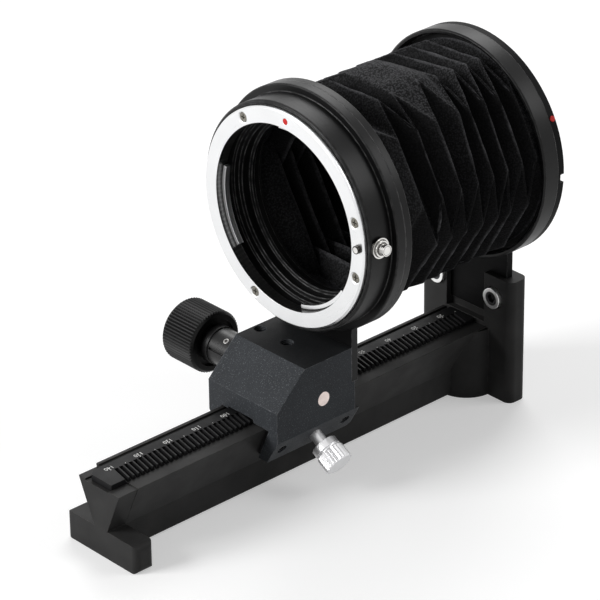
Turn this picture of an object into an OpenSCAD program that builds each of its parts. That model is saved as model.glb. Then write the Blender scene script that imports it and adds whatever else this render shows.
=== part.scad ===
// Macro bellows unit: a dovetail rail with a rack and scale, a geared carriage that
// carries the lens standard, a pleated cloth bellows and a fixed camera standard.
// Millimetres. +X is the lock-screw side, +Y runs from the lens to the camera, +Z is up.
// The origin is the mouth of the tripod socket under the rear post.

/* [Rail] */
// Distance from the rail's front end to the tripod socket's axis
socket_at = 133.2; // [120:0.2:160]
// Width of the dovetail across its top
rail_top_w = 16.8; // [14:0.2:22]
// Width of the web below the dovetail
web_w = 5.2; // [4:0.2:8]
// Height of the dovetail's top above the table
rail_top_z = 21.2; // [19:0.2:26]
// Height at which the dovetail meets the web
waist_z = 8.2; // [7:0.2:9]
// Gap between the web's lower edge and the table
web_gap = 0.7; // [0.2:0.1:2]
// How much smaller the plain front end of the dovetail is, per side
plain_end_step = 0.35; // [0.1:0.05:0.8]
// Height of the guide lip along the dovetail's left edge
lip_h = 0.5; // [0.2:0.1:0.8]
// Width of the guide lip
lip_w = 1.0; // [0.6:0.1:1.6]

/* [Foot and post] */
// Width of the front foot
foot_w = 27.8; // [24:0.2:40]
// Depth of the front foot along the rail
foot_d = 6.2; // [5:0.2:10]
// Height of the front foot
foot_h = 8.2; // [7:0.2:9]
// Radius of the foot's rounded edges
foot_round = 1.8; // [0.5:0.1:2.5]
// Width of the rear post
post_w = 35.2; // [34:0.2:42]
// Depth of the rear post along the rail
post_d = 6.6; // [6.2:0.2:10]
// How far the post's front face stands ahead of the socket's axis
post_lead = 0.6; // [0:0.1:1.5]
// Height of the rear post
post_h = 37.6; // [34:0.2:39]
// Radius of the post's upright edges
post_round = 2.2; // [0.5:0.1:3]
// Width of the window in the post's front wall
window_w = 14.6; // [10:0.2:15]
// Radius of the tripod boss
boss_r = 9.2; // [7:0.1:11]
// Thread diameter of the tripod socket
socket_d = 6.35; // [6:0.05:10]
// Depth of the tripod socket
socket_depth = 10; // [6:0.5:14]

/* [Rack and pinion] */
// Module of the teeth, measured square to them
tooth_module = 0.5; // [0.4:0.05:0.6]
// Slant of the teeth across the rack, in degrees
tooth_slant = 12; // [0:1:20]
// Number of teeth on the pinion
pinion_teeth = 17; // [16:1:20]
// Play between the teeth
tooth_play = 0.12; // [0.06:0.01:0.2]
// Length of the pinion along its shaft
pinion_w = 5.2; // [3:0.1:5.4]
// Left edge of the scale strip, measured from the rail's middle
strip_left = 5.4; // [4.5:0.1:6]
// Right edge of the scale strip, measured from the rail's middle
strip_right = 3.8; // [3:0.1:5]
// Height of the scale strip above the rail
strip_proud = 1.1; // [0.9:0.1:1.6]
// Depth of the groove that holds the strip
strip_sunk = 0.8; // [0.4:0.1:1.2]
// Where the teeth start, measured left from the rail's middle
teeth_left = 2.1; // [1:0.1:3]
// Radius of the pinion's shaft
shaft_r = 2.0; // [1.5:0.1:2.5]

/* [Carriage] */
// Distance from the rail's front end to the carriage's front face
carriage_at = 49.6; // [12:0.2:70]
// Width of the carriage
carriage_w = 27; // [25:0.2:32]
// Length of the carriage block
block_len = 28; // [26:0.2:34]
// How much further back the dovetail jaws reach
jaw_extra = 1.6; // [0.5:0.1:3]
// Height of the carriage's top face
carriage_top_z = 37.6; // [35:0.2:40]
// Length of the front slope along the rail
slope_len = 10; // [6:0.2:11]
// Height of the front slope
slope_h = 9.7; // [6:0.1:11]
// Height at which the sides turn in to follow the dovetail
shoulder_z = 18.8; // [17:0.1:20]
// Height of the jaws' lower faces
jaw_z = 11.7; // [9.5:0.1:13]
// Distance from the carriage's front face to the pinion's axis
shaft_at = 16.7; // [13:0.1:18]
// Lean of the jaws' outer faces, in degrees from upright
jaw_lean = 30; // [22:0.5:34]
// Space for the gib beside the dovetail, measured level
gib_space = 1.7; // [1.4:0.1:2.2]

/* [Focus drive] */
// Outer radius of the pinion sleeve
sleeve_r = 5.15; // [4:0.05:5.5]
// How far the sleeve stands out of the carriage
sleeve_out = 15.8; // [12:0.2:22]
// Radius of the focus knob
knob_r = 9; // [8:0.1:12]
// Length of the focus knob
knob_len = 12.8; // [10:0.2:18]
// Number of flutes round the focus knob
knob_flutes = 60; // [30:1:72]

/* [Lock screw] */
// Radius of the lock screw's thread
lock_r = 1.75; // [1.5:0.05:2.2]
// Length of bare thread outside the carriage
lock_gap = 3.9; // [2:0.1:6]
// Radius of the lock screw's head
lock_head_r = 4.0; // [3.5:0.1:5]
// Length of the lock screw's fluted head
lock_head_len = 4.4; // [3:0.1:8]
// Number of flutes round the lock screw's head
lock_flutes = 22; // [14:1:32]

/* [Standards] */
// Height of the lens axis above the table
axis_z = 75; // [73:0.5:84]
// Thickness of the two standard plates
plate_t = 2.1; // [1.6:0.1:2.6]
// Outer radius of the lens standard's ring
front_plate_r = 34; // [33:0.1:38]
// Outer radius of the camera standard's ring
rear_plate_r = 32.5; // [32:0.1:36]
// Width of the camera standard's leg
rear_leg_w = 28.4; // [26:0.2:30]
// Depth of the socket in the post that holds the rear leg, from the post's top
leg_sunk = 13; // [9:0.5:15]
// Distance between the two cap screws in the rear post
cap_screw_gap = 21.8; // [21:0.2:24]

/* [Lens mount] */
// Outer radius of the bright bayonet ring
mount_ring_r = 30.5; // [29.5:0.1:31.5]
// Radius of the bayonet's throat
throat_r = 26; // [25:0.1:27]
// How far the three claws reach into the throat
claw_reach = 1.4; // [1:0.1:2]
// Distance from the bayonet ring's face to the lens standard's plate
housing_len = 11.7; // [10:0.1:16]
// Length of the wide band in front of the lens standard's plate
band_len = 2.95; // [1.5:0.05:4]
// Travel of the lens release along the axis
release_travel = 1.5; // [1:0.1:1.8]

/* [Camera mount] */
// Length of the camera side's cup ahead of its plate
cup_len = 5.1; // [4:0.1:9]
// Radius of the camera bayonet's tube
tube_r = 24.5; // [24:0.1:25]
// How far the camera bayonet reaches behind its flange
tube_len = 5.0; // [4:0.1:6]

/* [Bellows] */
// Number of pleats
pleats = 8; // [6:1:12]
// Distance from the axis to a ridge fold, at the middle of a side
ridge_r = 29.1; // [28:0.1:30]
// Distance from the axis to a valley fold, at the middle of a side
valley_r = 22.5; // [21:0.1:25]
// Length of cloth between the front frame and the first fold
front_hem = 6.9; // [4:0.1:8]
// Length of cloth between the last fold and the rear frame
rear_hem = 3.0; // [2:0.1:5]
// Thickness of the cloth measured across the axis
cloth_t = 1.2; // [0.8:0.1:1.6]
// First fold of the top side that has popped outwards
popped_first = 4; // [2:2:8]
// Number of folds of the top side that have popped outwards
popped_count = 3; // [0:1:5]

/* [Hidden] */

$fn = 96;
cut = 0.5;              // overshoot of every cutting solid
fit_gap = 0.05;         // radial clearance of a shaft in its hole
slide_gap = 0.15;       // clearance between the sliding faces
seat_gap = 0.1;         // clearance of a plate in its slot

// Along the rail, measured from its front end
post_front = socket_at - post_lead;
rail_end = post_front + post_d;
carriage_back = carriage_at + block_len;
shaft_y = carriage_at + shaft_at;
rebate = 1.1;           // depth of the rebate for the front plate
front_plate_y = carriage_back - rebate;
flange_y = front_plate_y - housing_len;
rear_plate_y = post_front + 1.7;
camera_flange_y = rear_plate_y + plate_t + 0.1;

// Heights
strip_top_z = rail_top_z + strip_proud;
pitch_z = strip_top_z - tooth_module;
transverse_module = tooth_module / cos(tooth_slant);
tooth_pitch = PI * transverse_module;
pinion_r = pinion_teeth * transverse_module / 2;
shaft_z = pitch_z + pinion_r;
ceiling_gap = 0.3;      // room between the carriage and the rail's top
channel_z = strip_top_z + ceiling_gap;
lip_top_z = rail_top_z + lip_h;

// The dovetail's flank: half its width at height z, and its outward normal
flank_slope = (rail_top_w - web_w) / 2 / (rail_top_z - waist_z);
flank_angle = atan(flank_slope);
function flank_x(z) = web_w / 2 + (z - waist_z) * flank_slope;

// Carriage jaws
jaw_low_x = carriage_w / 2 - (shoulder_z - jaw_z) * tan(jaw_lean);
jaw_mid_z = (shoulder_z + jaw_z) / 2;
jaw_mid_x = (carriage_w / 2 + jaw_low_x) / 2;
// depth of the jaw's inner face along a screw standing square on its outer face
jaw_depth = (jaw_mid_x - flank_x(jaw_mid_z) - gib_space) / (cos(jaw_lean) + flank_slope * sin(jaw_lean));
gib_t = gib_space - 2 * slide_gap;

// Focus drive, along X
sleeve_nose_x = rail_top_w / 2 + 0.7;
sleeve_nose_r = 3.0;
sleeve_end_x = carriage_w / 2 + sleeve_out;
knob_face_x = sleeve_end_x + 0.3;
knob_bore_depth = 8;
pinion_x = (strip_right - teeth_left) / 2;

// Lens mount
screw_circle_r = 28.2;
lock_circle_r = 28.5;
skirt_t = 0.9;
mount_ring_t = 1.8;
ring_shows = 1.3;        // how far the bright ring stands out of the housing
claw_t = 1.6;
claw_back_y = flange_y + mount_ring_t + claw_t;
release_angle = 3;
release_y = flange_y + 4.2;
lock_pin_r = 1.1;
lock_body_r = 1.2;
release_pin_r = 1.35;
lock_pin_tip = 1.0;
spring_end_y = front_plate_y - 0.9;

// Bellows
frame_t = 1.2;
frame_in_r = 25;
frame_out_r = 30.6;
cup_floor_t = 1.2;
bellows_y0 = front_plate_y + plate_t + frame_t;
bellows_y1 = rear_plate_y - cup_floor_t - frame_t;
fold_count = 2 * pleats - 1;
fold_step = (bellows_y1 - bellows_y0 - front_hem - rear_hem) / (fold_count - 1);
hem_r = 26.2;

// ---------- helpers ----------

// Places children that are measured from the rail's front end
module from_front() {
    translate([0, -socket_at, 0])
        children();
}

// Extrudes an outline drawn as (x, z) from y to y + len
module along_y(y, len) {
    translate([0, y + len, 0])
        rotate([90, 0, 0])
            linear_extrude(len)
                children();
}

// Turns an outline drawn as (radius, y) round the lens axis
module turned_y() {
    translate([0, 0, axis_z])
        rotate([-90, 0, 0])
            rotate_extrude($fn = 128)
                children();
}

// A solid cylinder along +Y from y, at (x, z)
module pin_y(x, y, z, r, len) {
    translate([x, y, z])
        rotate([-90, 0, 0])
            cylinder(h = len, r = r);
}

// A solid cylinder along +X from x, on the pinion's axis
module pin_x(x, r, len) {
    translate([x, shaft_y, shaft_z])
        rotate([0, 90, 0])
            cylinder(h = len, r = r);
}

// Puts children on the lens axis's clock face: angle from +X, radius r, at y, facing -Y
module on_face(angle, r, y) {
    translate([r * cos(angle), y, axis_z + r * sin(angle)])
        rotate([-90, 0, 0])
            children();
}

// Stands children on the right jaw's sloping face, +Z pointing out of it
module on_jaw(y, depth) {
    translate([jaw_mid_x - depth * cos(jaw_lean), y, jaw_mid_z + depth * sin(jaw_lean)])
        rotate([0, 90 + jaw_lean, 0])
            children();
}

// Outline of the dovetail and its web, smaller by inset on each side
module dovetail_outline(inset, bottom_z) {
    polygon([
        [-web_w / 2, bottom_z], [web_w / 2, bottom_z], [web_w / 2, waist_z],
        [flank_x(rail_top_z) - inset, rail_top_z - inset],
        [-flank_x(rail_top_z) + inset, rail_top_z - inset], [-web_w / 2, waist_z]
    ]);
}

// A rectangle with round corners, centred on the origin
module round_rect(w, d, r) {
    square([w, d - 2 * r], center = true);
    square([w - 2 * r, d], center = true);
    for (sx = [-1, 1], sy = [-1, 1])
        translate([sx * (w / 2 - r), sy * (d / 2 - r)])
            circle(r, $fn = 48);
}

// Outline of a round bar with count V flutes cut depth deep
module fluted_outline(r, count, depth) {
    polygon([
        for (i = [0 : count - 1], s = [0, 1])
            (r - s * depth) * [cos((i + s / 2) * 360 / count), sin((i + s / 2) * 360 / count)]
    ]);
}

// A grub screw standing on its tip, with a hexagon socket in its top
module grub_screw(r, len, key) {
    difference() {
        cylinder(h = len, r = r, $fn = 32);
        translate([0, 0, len - 0.9 * r])
            cylinder(h = r, d = key / cos(30), $fn = 6);
    }
}

// A flat-headed screw along +Z with its head's face at z = 0 and a cross recess
module flat_screw(r, head_r, len) {
    difference() {
        union() {
            cylinder(h = head_r - r, r1 = head_r, r2 = r, $fn = 48);
            cylinder(h = len, r = r, $fn = 48);
        }
        for (a = [0, 90])
            rotate(a)
                translate([-head_r * 0.6, -head_r * 0.12, -cut])
                    cube([head_r * 1.2, head_r * 0.24, cut + head_r * 0.35]);
    }
}

// The hole for a flat-headed screw
module flat_screw_hole(r, head_r, len) {
    translate([0, 0, -cut])
        cylinder(h = cut, r = head_r + fit_gap, $fn = 48);
    cylinder(h = head_r - r, r1 = head_r + fit_gap, r2 = r + fit_gap, $fn = 48);
    cylinder(h = len + fit_gap, r = r + fit_gap, $fn = 48);
}

// ---------- rail ----------

module rail_casting() {
    color([0.09, 0.09, 0.1])
        from_front()
            difference() {
                union() {
                    dovetail();
                    front_foot();
                    rear_post();
                    tripod_boss();
                }
                strip_groove();
                leg_slot();
                cap_screw_holes();
                translate([0, socket_at, -cut])
                    cylinder(h = socket_depth + cut, d = socket_d);
            }
}

module dovetail() {
    along_y(0, foot_d)
        dovetail_outline(plain_end_step, web_gap);
    along_y(foot_d, post_front + cut - foot_d)
        dovetail_outline(0, web_gap);
    // guide lip along the left edge
    along_y(foot_d, post_front + cut - foot_d)
        polygon([
            [-flank_x(rail_top_z - cut), rail_top_z - cut], [-rail_top_w / 2 + lip_w, rail_top_z - cut],
            [-rail_top_w / 2 + lip_w, lip_top_z], [-rail_top_w / 2, lip_top_z],
            [-rail_top_w / 2, rail_top_z]
        ]);
}

module front_foot() {
    intersection() {
        along_y(0, foot_d)
            translate([0, foot_h / 2])
                round_rect(foot_w, foot_h, foot_round);
        translate([0, foot_d / 2, 0])
            linear_extrude(foot_h)
                round_rect(foot_w, foot_d, foot_round);
    }
}

module rear_post() {
    difference() {
        translate([0, post_front + post_d / 2, 0])
            linear_extrude(post_h)
                round_rect(post_w, post_d, post_round);
        // window in the front wall above the rail
        translate([-window_w / 2, post_front - cut, rail_top_z + strip_proud])
            cube([window_w, rear_plate_y - seat_gap - post_front + 2 * cut, post_h]);
    }
}

module tripod_boss() {
    translate([0, socket_at, 0])
        cylinder(h = rail_top_z - 0.6, r = boss_r);
}

module strip_groove() {
    translate([-strip_left - 0.1, -cut, rail_top_z - strip_sunk])
        cube([strip_left + strip_right + 0.2, post_front + cut, strip_sunk + 2 * cut]);
}

module leg_slot() {
    translate([-rear_leg_w / 2 - seat_gap, rear_plate_y - seat_gap, post_h - leg_sunk - seat_gap])
        cube([rear_leg_w + 2 * seat_gap, plate_t + 2 * seat_gap, leg_sunk + seat_gap + cut]);
}

cap_screw_z = post_h - 6.4;
cap_head_r = 3;
cap_head_h = 2.8;
cap_thread_r = 1.5;

module cap_screw_holes() {
    for (side = [-1, 1]) {
        pin_y(side * cap_screw_gap / 2, post_front - cut, cap_screw_z, cap_head_r + 0.25,
            rear_plate_y - post_front + cut);
        pin_y(side * cap_screw_gap / 2, rear_plate_y, cap_screw_z, cap_thread_r + fit_gap,
            rail_end - rear_plate_y + cut);
    }
}

// Slanted rack teeth on the right of a strip whose left side is left plain for the scale
module rack_scale() {
    strip_bottom = rail_top_z - strip_sunk;
    teeth_start = foot_d + 0.4;
    teeth_end = post_front - 2.2;
    strip_front = 1.0;
    corner = 1.4;
    color([0.08, 0.08, 0.08])
        from_front()
            difference() {
                translate([0, 0, strip_bottom])
                    linear_extrude(strip_top_z - strip_bottom)
                        polygon([
                            [-strip_left + corner, strip_front], [strip_right, strip_front],
                            [strip_right, post_front - 0.3], [-strip_left, post_front - 0.3],
                            [-strip_left, strip_front + corner]
                        ]);
                for (n = [ceil((teeth_start - shaft_y) / tooth_pitch) :
                          floor((teeth_end - shaft_y) / tooth_pitch)])
                    translate([pinion_x, shaft_y + n * tooth_pitch, pitch_z])
                        rotate([0, 0, -tooth_slant])
                            tooth_space();
            }
}

// The space between two rack teeth, along X, with its pitch line at z = 0
module tooth_space() {
    addendum = tooth_module;
    dedendum = 1.25 * tooth_module;
    half = PI * tooth_module / 4;
    lean = tan(20);
    reach = strip_right + teeth_left + 2;
    top = addendum + cut;
    translate([-pinion_x - teeth_left, 0, 0])
        rotate([90, 0, 90])
            linear_extrude(reach)
                polygon([
                    [-half + dedendum * lean, -dedendum], [half - dedendum * lean, -dedendum],
                    [half + top * lean, top], [-half - top * lean, top]
                ]);
}

// ---------- camera standard ----------

module rear_standard() {
    leg_bottom_z = post_h - leg_sunk;
    color([0.1, 0.1, 0.11])
        from_front()
            difference() {
                union() {
                    pin_y(0, rear_plate_y, axis_z, rear_plate_r, plate_t);
                    translate([-rear_leg_w / 2, rear_plate_y, leg_bottom_z])
                        cube([rear_leg_w, plate_t, axis_z - leg_bottom_z]);
                }
                pin_y(0, rear_plate_y - cut, axis_z, frame_in_r, plate_t + 2 * cut);
                // rebate that locates the camera bayonet
                pin_y(0, rear_plate_y + plate_t - 0.8, axis_z, bayonet_flange_r + 0.1, 1 + cut);
                for (a = camera_screw_angles)
                    on_face(a, camera_screw_circle_r, rear_plate_y - cut)
                        cylinder(h = plate_t + 2 * cut, r = 1.1, $fn = 32);
                for (side = [-1, 1])
                    pin_y(side * cap_screw_gap / 2, rear_plate_y - cut, cap_screw_z,
                        cap_thread_r + 0.2, plate_t + 2 * cut);
                // notch for the camera's lock pin
                translate([rear_plate_r - 1.3, rear_plate_y + plate_t - 1.3, axis_z - 2.2])
                    cube([3, 3, 2.4]);
            }
}

module rear_standard_screws() {
    color([0.8, 0.81, 0.82])
        from_front()
            for (side = [-1, 1])
                translate([side * cap_screw_gap / 2, rear_plate_y, cap_screw_z])
                    rotate([-90, 0, 0])
                        cap_screw(rail_end - rear_plate_y - 0.4);
}

// A socket-head screw along +Z, its head below z = 0 and its thread len long above
module cap_screw(len) {
    difference() {
        union() {
            translate([0, 0, -cap_head_h])
                cylinder(h = cap_head_h, r = cap_head_r, $fn = 64);
            cylinder(h = len, r = cap_thread_r, $fn = 48);
        }
        translate([0, 0, -cap_head_h - cut])
            cylinder(h = cut + 1.6, d = 2.5 / cos(30), $fn = 6);
    }
}

camera_screw_circle_r = 27.6;
camera_screw_angles = [45, 135, 225, 315];
bayonet_flange_r = 30;

module rear_cup() {
    front = rear_plate_y - cup_len;
    wall = 1.3;
    r = rear_plate_r;
    color([0.05, 0.05, 0.055])
        from_front()
            difference() {
                turned_y()
                    polygon([
                        [frame_in_r, rear_plate_y - cup_floor_t], [r - wall, rear_plate_y - cup_floor_t],
                        [r - wall, front + 0.3], [r - wall + 0.3, front], [r - 0.4, front],
                        [r, front + 0.4], [r, rear_plate_y], [frame_in_r, rear_plate_y]
                    ]);
                for (a = camera_screw_angles)
                    on_face(a, camera_screw_circle_r, rear_plate_y - cup_floor_t - cut)
                        cylinder(h = cup_floor_t + 2 * cut, r = 0.95, $fn = 32);
            }
}

// Flange, tube and three lugs of the camera side's bayonet
module camera_bayonet() {
    tube_in_r = tube_r - 1.5;
    flange_front = rear_plate_y + plate_t - 0.8;
    tube_end = camera_flange_y + tube_len;
    lug_t = 1.4;
    lug_r = throat_r - 0.2;
    color([0.14, 0.14, 0.15])
        from_front()
            difference() {
                union() {
                    turned_y()
                        polygon([
                            [tube_in_r, flange_front], [bayonet_flange_r, flange_front],
                            [bayonet_flange_r, camera_flange_y], [tube_r, camera_flange_y],
                            [tube_r, tube_end], [tube_in_r + 0.4, tube_end],
                            [tube_in_r, tube_end - 0.4]
                        ]);
                    for (a = [30, 150, 270])
                        translate([0, tube_end - lug_t, axis_z])
                            rotate([-90, 0, 0])
                                rotate([0, 0, -a - 26])
                                    rotate_extrude(angle = 52, $fn = 128)
                                        translate([tube_r - cut, 0])
                                            square([lug_r - tube_r + cut, lug_t]);
                }
                for (a = camera_screw_angles)
                    on_face(a, camera_screw_circle_r, camera_flange_y)
                        mirror([0, 0, 1])
                            flat_screw_hole(0.9, 1.7, 3);
            }
}

module camera_bayonet_screws() {
    color([0.2, 0.2, 0.2])
        from_front()
            for (a = camera_screw_angles)
                on_face(a, camera_screw_circle_r, camera_flange_y)
                    mirror([0, 0, 1])
                        flat_screw(0.9, 1.7, 3.2);
}

module rear_index_dot() {
    angle = 28;
    color("red")
        from_front()
            translate([0, rear_plate_y + plate_t / 2, axis_z])
                rotate([0, 90 - angle, 0])
                    translate([0, 0, rear_plate_r + 0.02])
                        cylinder(h = 0.25, r = 0.8, $fn = 32);
}

// ---------- bellows ----------

module bellows_rear_frame() {
    color([0.06, 0.06, 0.06])
        from_front()
            frame_ring(bellows_y1);
}

module bellows_front_frame() {
    color([0.06, 0.06, 0.06])
        from_front()
            frame_ring(bellows_y0 - frame_t);
}

module frame_ring(y) {
    difference() {
        pin_y(0, y, axis_z, frame_out_r, frame_t);
        pin_y(0, y - cut, axis_z, frame_in_r, frame_t + 2 * cut);
    }
}

// Distance from the axis to the cloth at fold i on side s, where sides and folds alternate
// between ridge and valley. Fold -1 and fold_count are the glued hems. Side 1 is the top.
top_side = 1;
function is_hem(i) = i < 0 || i >= fold_count;
function is_popped(i) = i >= popped_first && i < popped_first + popped_count;
function side_r(i, s) = is_hem(i) ? hem_r : (i + s) % 2 == 0 ? ridge_r : valley_r;
function fold_y(i) =
    i < 0 ? bellows_y0 :
    i >= fold_count ? bellows_y1 :
    bellows_y0 + front_hem + i * fold_step;

// A point of fold i in the direction dir: r from the axis and t along the side
function fold_point(i, dir, r, t) =
    [r * cos(dir) - t * sin(dir), fold_y(i), axis_z + r * sin(dir) + t * cos(dir)];

// The corner between side s and the next one at fold i, moved in by depth
function corner(i, s, depth) =
    let (a = side_r(i, s) - depth,
         b = side_r(i, (s + 1) % 6) - depth)
    fold_point(i, 30 + 60 * s, a, (b - a * cos(60)) / sin(60));

// One fold's section: six corners, and two points that let the top side pop outwards. They
// stay inside the half length that a ridge has there, so no two points of a fold meet.
ridge_half = (valley_r - ridge_r * cos(60)) / sin(60);
crown_half = 0.7 * ridge_half;
function section(i, depth) =
    let (top_r = (is_popped(i) ? ridge_r + 0.4 : side_r(i, top_side)) - depth)
    [
        corner(i, 0, depth), fold_point(i, 90, top_r, -crown_half), fold_point(i, 90, top_r, crown_half),
        for (s = [1 : 5]) corner(i, s, depth)
    ];

// Six flat sides whose ridges and valleys alternate, so every corner edge zigzags
module bellows() {
    sides = 8;
    rings = fold_count + 2;
    outer = [for (i = [-1 : fold_count]) each section(i, 0)];
    inner = [for (i = [-1 : fold_count]) each section(i, cloth_t)];
    half = rings * sides;
    outer_faces = [
        for (i = [0 : rings - 2], s = [0 : sides - 1])
            let (t = (s + 1) % sides,
                 p = i * sides + s,
                 q = i * sides + t)
            each [[p, p + sides, q + sides], [p, q + sides, q]]
    ];
    inner_faces = [for (f = outer_faces) [half + f[0], half + f[2], half + f[1]]];
    last = (rings - 1) * sides;
    end_faces = [
        for (s = [0 : sides - 1])
            let (t = (s + 1) % sides)
            each [[s, t, half + t], [s, half + t, half + s],
                  [last + s, half + last + t, last + t], [last + s, half + last + s, half + last + t]]
    ];
    color([0.12, 0.12, 0.13])
        from_front()
            polyhedron(concat(outer, inner), concat(outer_faces, inner_faces, end_faces));
}

// ---------- carriage ----------

module carriage_block() {
    color([0.2, 0.21, 0.22])
        from_front()
            difference() {
                intersection() {
                    carriage_side();
                    carriage_section();
                }
                shaft_holes();
                for (y = gib_screw_ys)
                    on_jaw(y, -cut)
                        mirror([0, 0, 1])
                            cylinder(h = jaw_depth + 4 * cut, r = gib_screw_r + fit_gap, $fn = 48);
                on_jaw(lock_y, -cut)
                    mirror([0, 0, 1])
                        cylinder(h = jaw_depth + 4 * cut, r = lock_r + fit_gap, $fn = 48);
                for (x = clamp_xs)
                    clamp_hole(x);
                // rebate and screw holes for the lens standard's plate
                translate([-carriage_w / 2 - cut, front_plate_y, carriage_top_z - plate_overlap])
                    cube([carriage_w + 2 * cut, rebate + cut, plate_overlap + cut]);
                for (side = [-1, 1])
                    pin_y(side * plate_screw_x, front_plate_y - 5, plate_screw_z, 1.3, 5 + cut);
            }
}

gib_screw_r = 1.45;
gib_screw_ys = [carriage_at + 3.4, carriage_back - 1.8];
lock_y = carriage_at + 15.3;
clamp_xs = [-11.2, -0.6];
plate_overlap = 10.3;
plate_screw_x = 8;
plate_screw_z = carriage_top_z - 5;

// The carriage seen from the side: a block with a sloping front and longer jaws
module carriage_side() {
    translate([-carriage_w / 2 - cut, 0, 0])
        rotate([90, 0, 90])
            linear_extrude(carriage_w + 2 * cut)
                polygon([
                    [carriage_at, jaw_z], [carriage_at, carriage_top_z - slope_h],
                    [carriage_at + slope_len, carriage_top_z], [carriage_back, carriage_top_z],
                    [carriage_back, shoulder_z], [carriage_back + jaw_extra, shoulder_z],
                    [carriage_back + jaw_extra, jaw_z + 1], [carriage_back + jaw_extra - 1, jaw_z]
                ]);
}

// The carriage seen from the front: jaws that follow the dovetail, with its channel
module carriage_section() {
    w = carriage_w / 2;
    left = slide_gap / cos(flank_angle);
    along_y(carriage_at - cut, block_len + jaw_extra + 2 * cut)
        polygon([
            [-jaw_low_x, jaw_z], [-w, shoulder_z], [-w, carriage_top_z], [w, carriage_top_z],
            [w, shoulder_z], [jaw_low_x, jaw_z], [flank_x(jaw_z) + gib_space, jaw_z],
            [flank_x(rail_top_z) + gib_space, rail_top_z],
            [flank_x(rail_top_z) + gib_space, rail_top_z + ceiling_gap],
            [strip_right + ceiling_gap, rail_top_z + ceiling_gap],
            [strip_right + ceiling_gap, channel_z], [-strip_left - ceiling_gap, channel_z],
            [-strip_left - ceiling_gap, lip_top_z + ceiling_gap],
            [-flank_x(rail_top_z) - left, lip_top_z + ceiling_gap],
            [-flank_x(rail_top_z) - left, rail_top_z], [-flank_x(jaw_z) - left, jaw_z]
        ]);
}

module shaft_holes() {
    pin_x(-carriage_w / 2 - cut, sleeve_r + fit_gap, carriage_w / 2 + cut - sleeve_nose_x + 0.1);
    pin_x(-sleeve_nose_x - cut, sleeve_nose_r + fit_gap, sleeve_nose_x + cut);
    pin_x(pinion_x - pinion_w / 2 - 0.4, pinion_r + 0.95, pinion_w + 0.8);
    pin_x(0, shaft_r + fit_gap, carriage_w / 2 + cut);
}

module clamp_hole(x) {
    bottom = shaft_z + sleeve_r - 1;
    translate([x, shaft_y, bottom])
        cylinder(h = carriage_top_z - bottom + cut, r = 1.25, $fn = 48);
    translate([x, shaft_y, carriage_top_z - 0.7])
        cylinder(h = 0.7 + cut, r = 1.7, $fn = 48);
}

// Strip between the right jaw and the dovetail, set by the two gib screws
module gib_strip() {
    z0 = jaw_z + 0.6;
    z1 = rail_top_z - 0.4;
    near = slide_gap;
    inset = 1;
    color([0.15, 0.15, 0.15])
        from_front()
            along_y(carriage_at + inset, block_len + jaw_extra - 2 * inset)
                polygon([
                    [flank_x(z0) + near, z0], [flank_x(z0) + near + gib_t, z0],
                    [flank_x(z1) + near + gib_t, z1], [flank_x(z1) + near, z1]
                ]);
}

// How deep the jaw's screws reach, so that their tips keep clear of the gib
jaw_wall = jaw_depth - 0.2;

module gib_screws() {
    color([0.15, 0.15, 0.15])
        from_front()
            for (y = gib_screw_ys)
                on_jaw(y, jaw_wall)
                    grub_screw(gib_screw_r, jaw_wall - 0.4, 1.5);
}

module sleeve_clamp_screws() {
    color([0.1, 0.1, 0.1])
        from_front()
            for (x = clamp_xs)
                translate([x, shaft_y, shaft_z + sleeve_r + fit_gap])
                    grub_screw(1.2, 3.2, 1.3);
}

module pinion_sleeve() {
    collar_len = 2.1;
    slot_angle = 75;
    color([0.08, 0.08, 0.08])
        from_front()
            difference() {
                union() {
                    pin_x(-sleeve_end_x + collar_len, sleeve_r, sleeve_end_x - collar_len - sleeve_nose_x);
                    pin_x(-sleeve_end_x, sleeve_r + 0.35, collar_len);
                    pin_x(-sleeve_nose_x - cut, sleeve_nose_r,
                        sleeve_nose_x + cut + pinion_x - pinion_w / 2 - 0.2);
                }
                pin_x(-sleeve_end_x - cut, shaft_r + fit_gap, sleeve_end_x + 2);
                // oil slot along the barrel
                translate([-sleeve_end_x + collar_len + 0.4, shaft_y, shaft_z])
                    rotate([slot_angle, 0, 0])
                        translate([0, -0.35, sleeve_r - 0.6])
                            cube([sleeve_out - collar_len - 5.3, 0.7, 2]);
                sleeve_screw_place()
                    translate([0, 0, -1])
                        cylinder(h = 4, r = 0.9, $fn = 32);
            }
}

// The small screw in the sleeve, on the barrel's upper front
module sleeve_screw_place() {
    translate([-carriage_w / 2 - 8.8, shaft_y, shaft_z])
        rotate([31, 0, 0])
            translate([0, 0, sleeve_r - 1.8])
                children();
}

module sleeve_set_screw() {
    color([0.8, 0.8, 0.8])
        from_front()
            sleeve_screw_place()
                grub_screw(0.85, 1.7, 0.9);
}

// ---------- lens standard ----------

module front_standard() {
    leg_bottom_z = carriage_top_z - plate_overlap;
    color([0.09, 0.09, 0.1])
        from_front()
            difference() {
                union() {
                    pin_y(0, front_plate_y, axis_z, front_plate_r, plate_t);
                    translate([-carriage_w / 2, front_plate_y, leg_bottom_z])
                        cube([carriage_w, plate_t, axis_z - leg_bottom_z]);
                }
                pin_y(0, front_plate_y - cut, axis_z, frame_in_r - 0.6, plate_t + 2 * cut);
                for (side = [-1, 1])
                    translate([side * plate_screw_x, front_plate_y + plate_t, plate_screw_z])
                        rotate([90, 0, 0])
                            flat_screw_hole(1.2, 2.4, plate_t);
                for (a = housing_screw_angles)
                    on_face(a, screw_circle_r, front_plate_y + plate_t)
                        mirror([0, 0, 1])
                            flat_screw_hole(0.9, 1.7, plate_t);
            }
}

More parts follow.
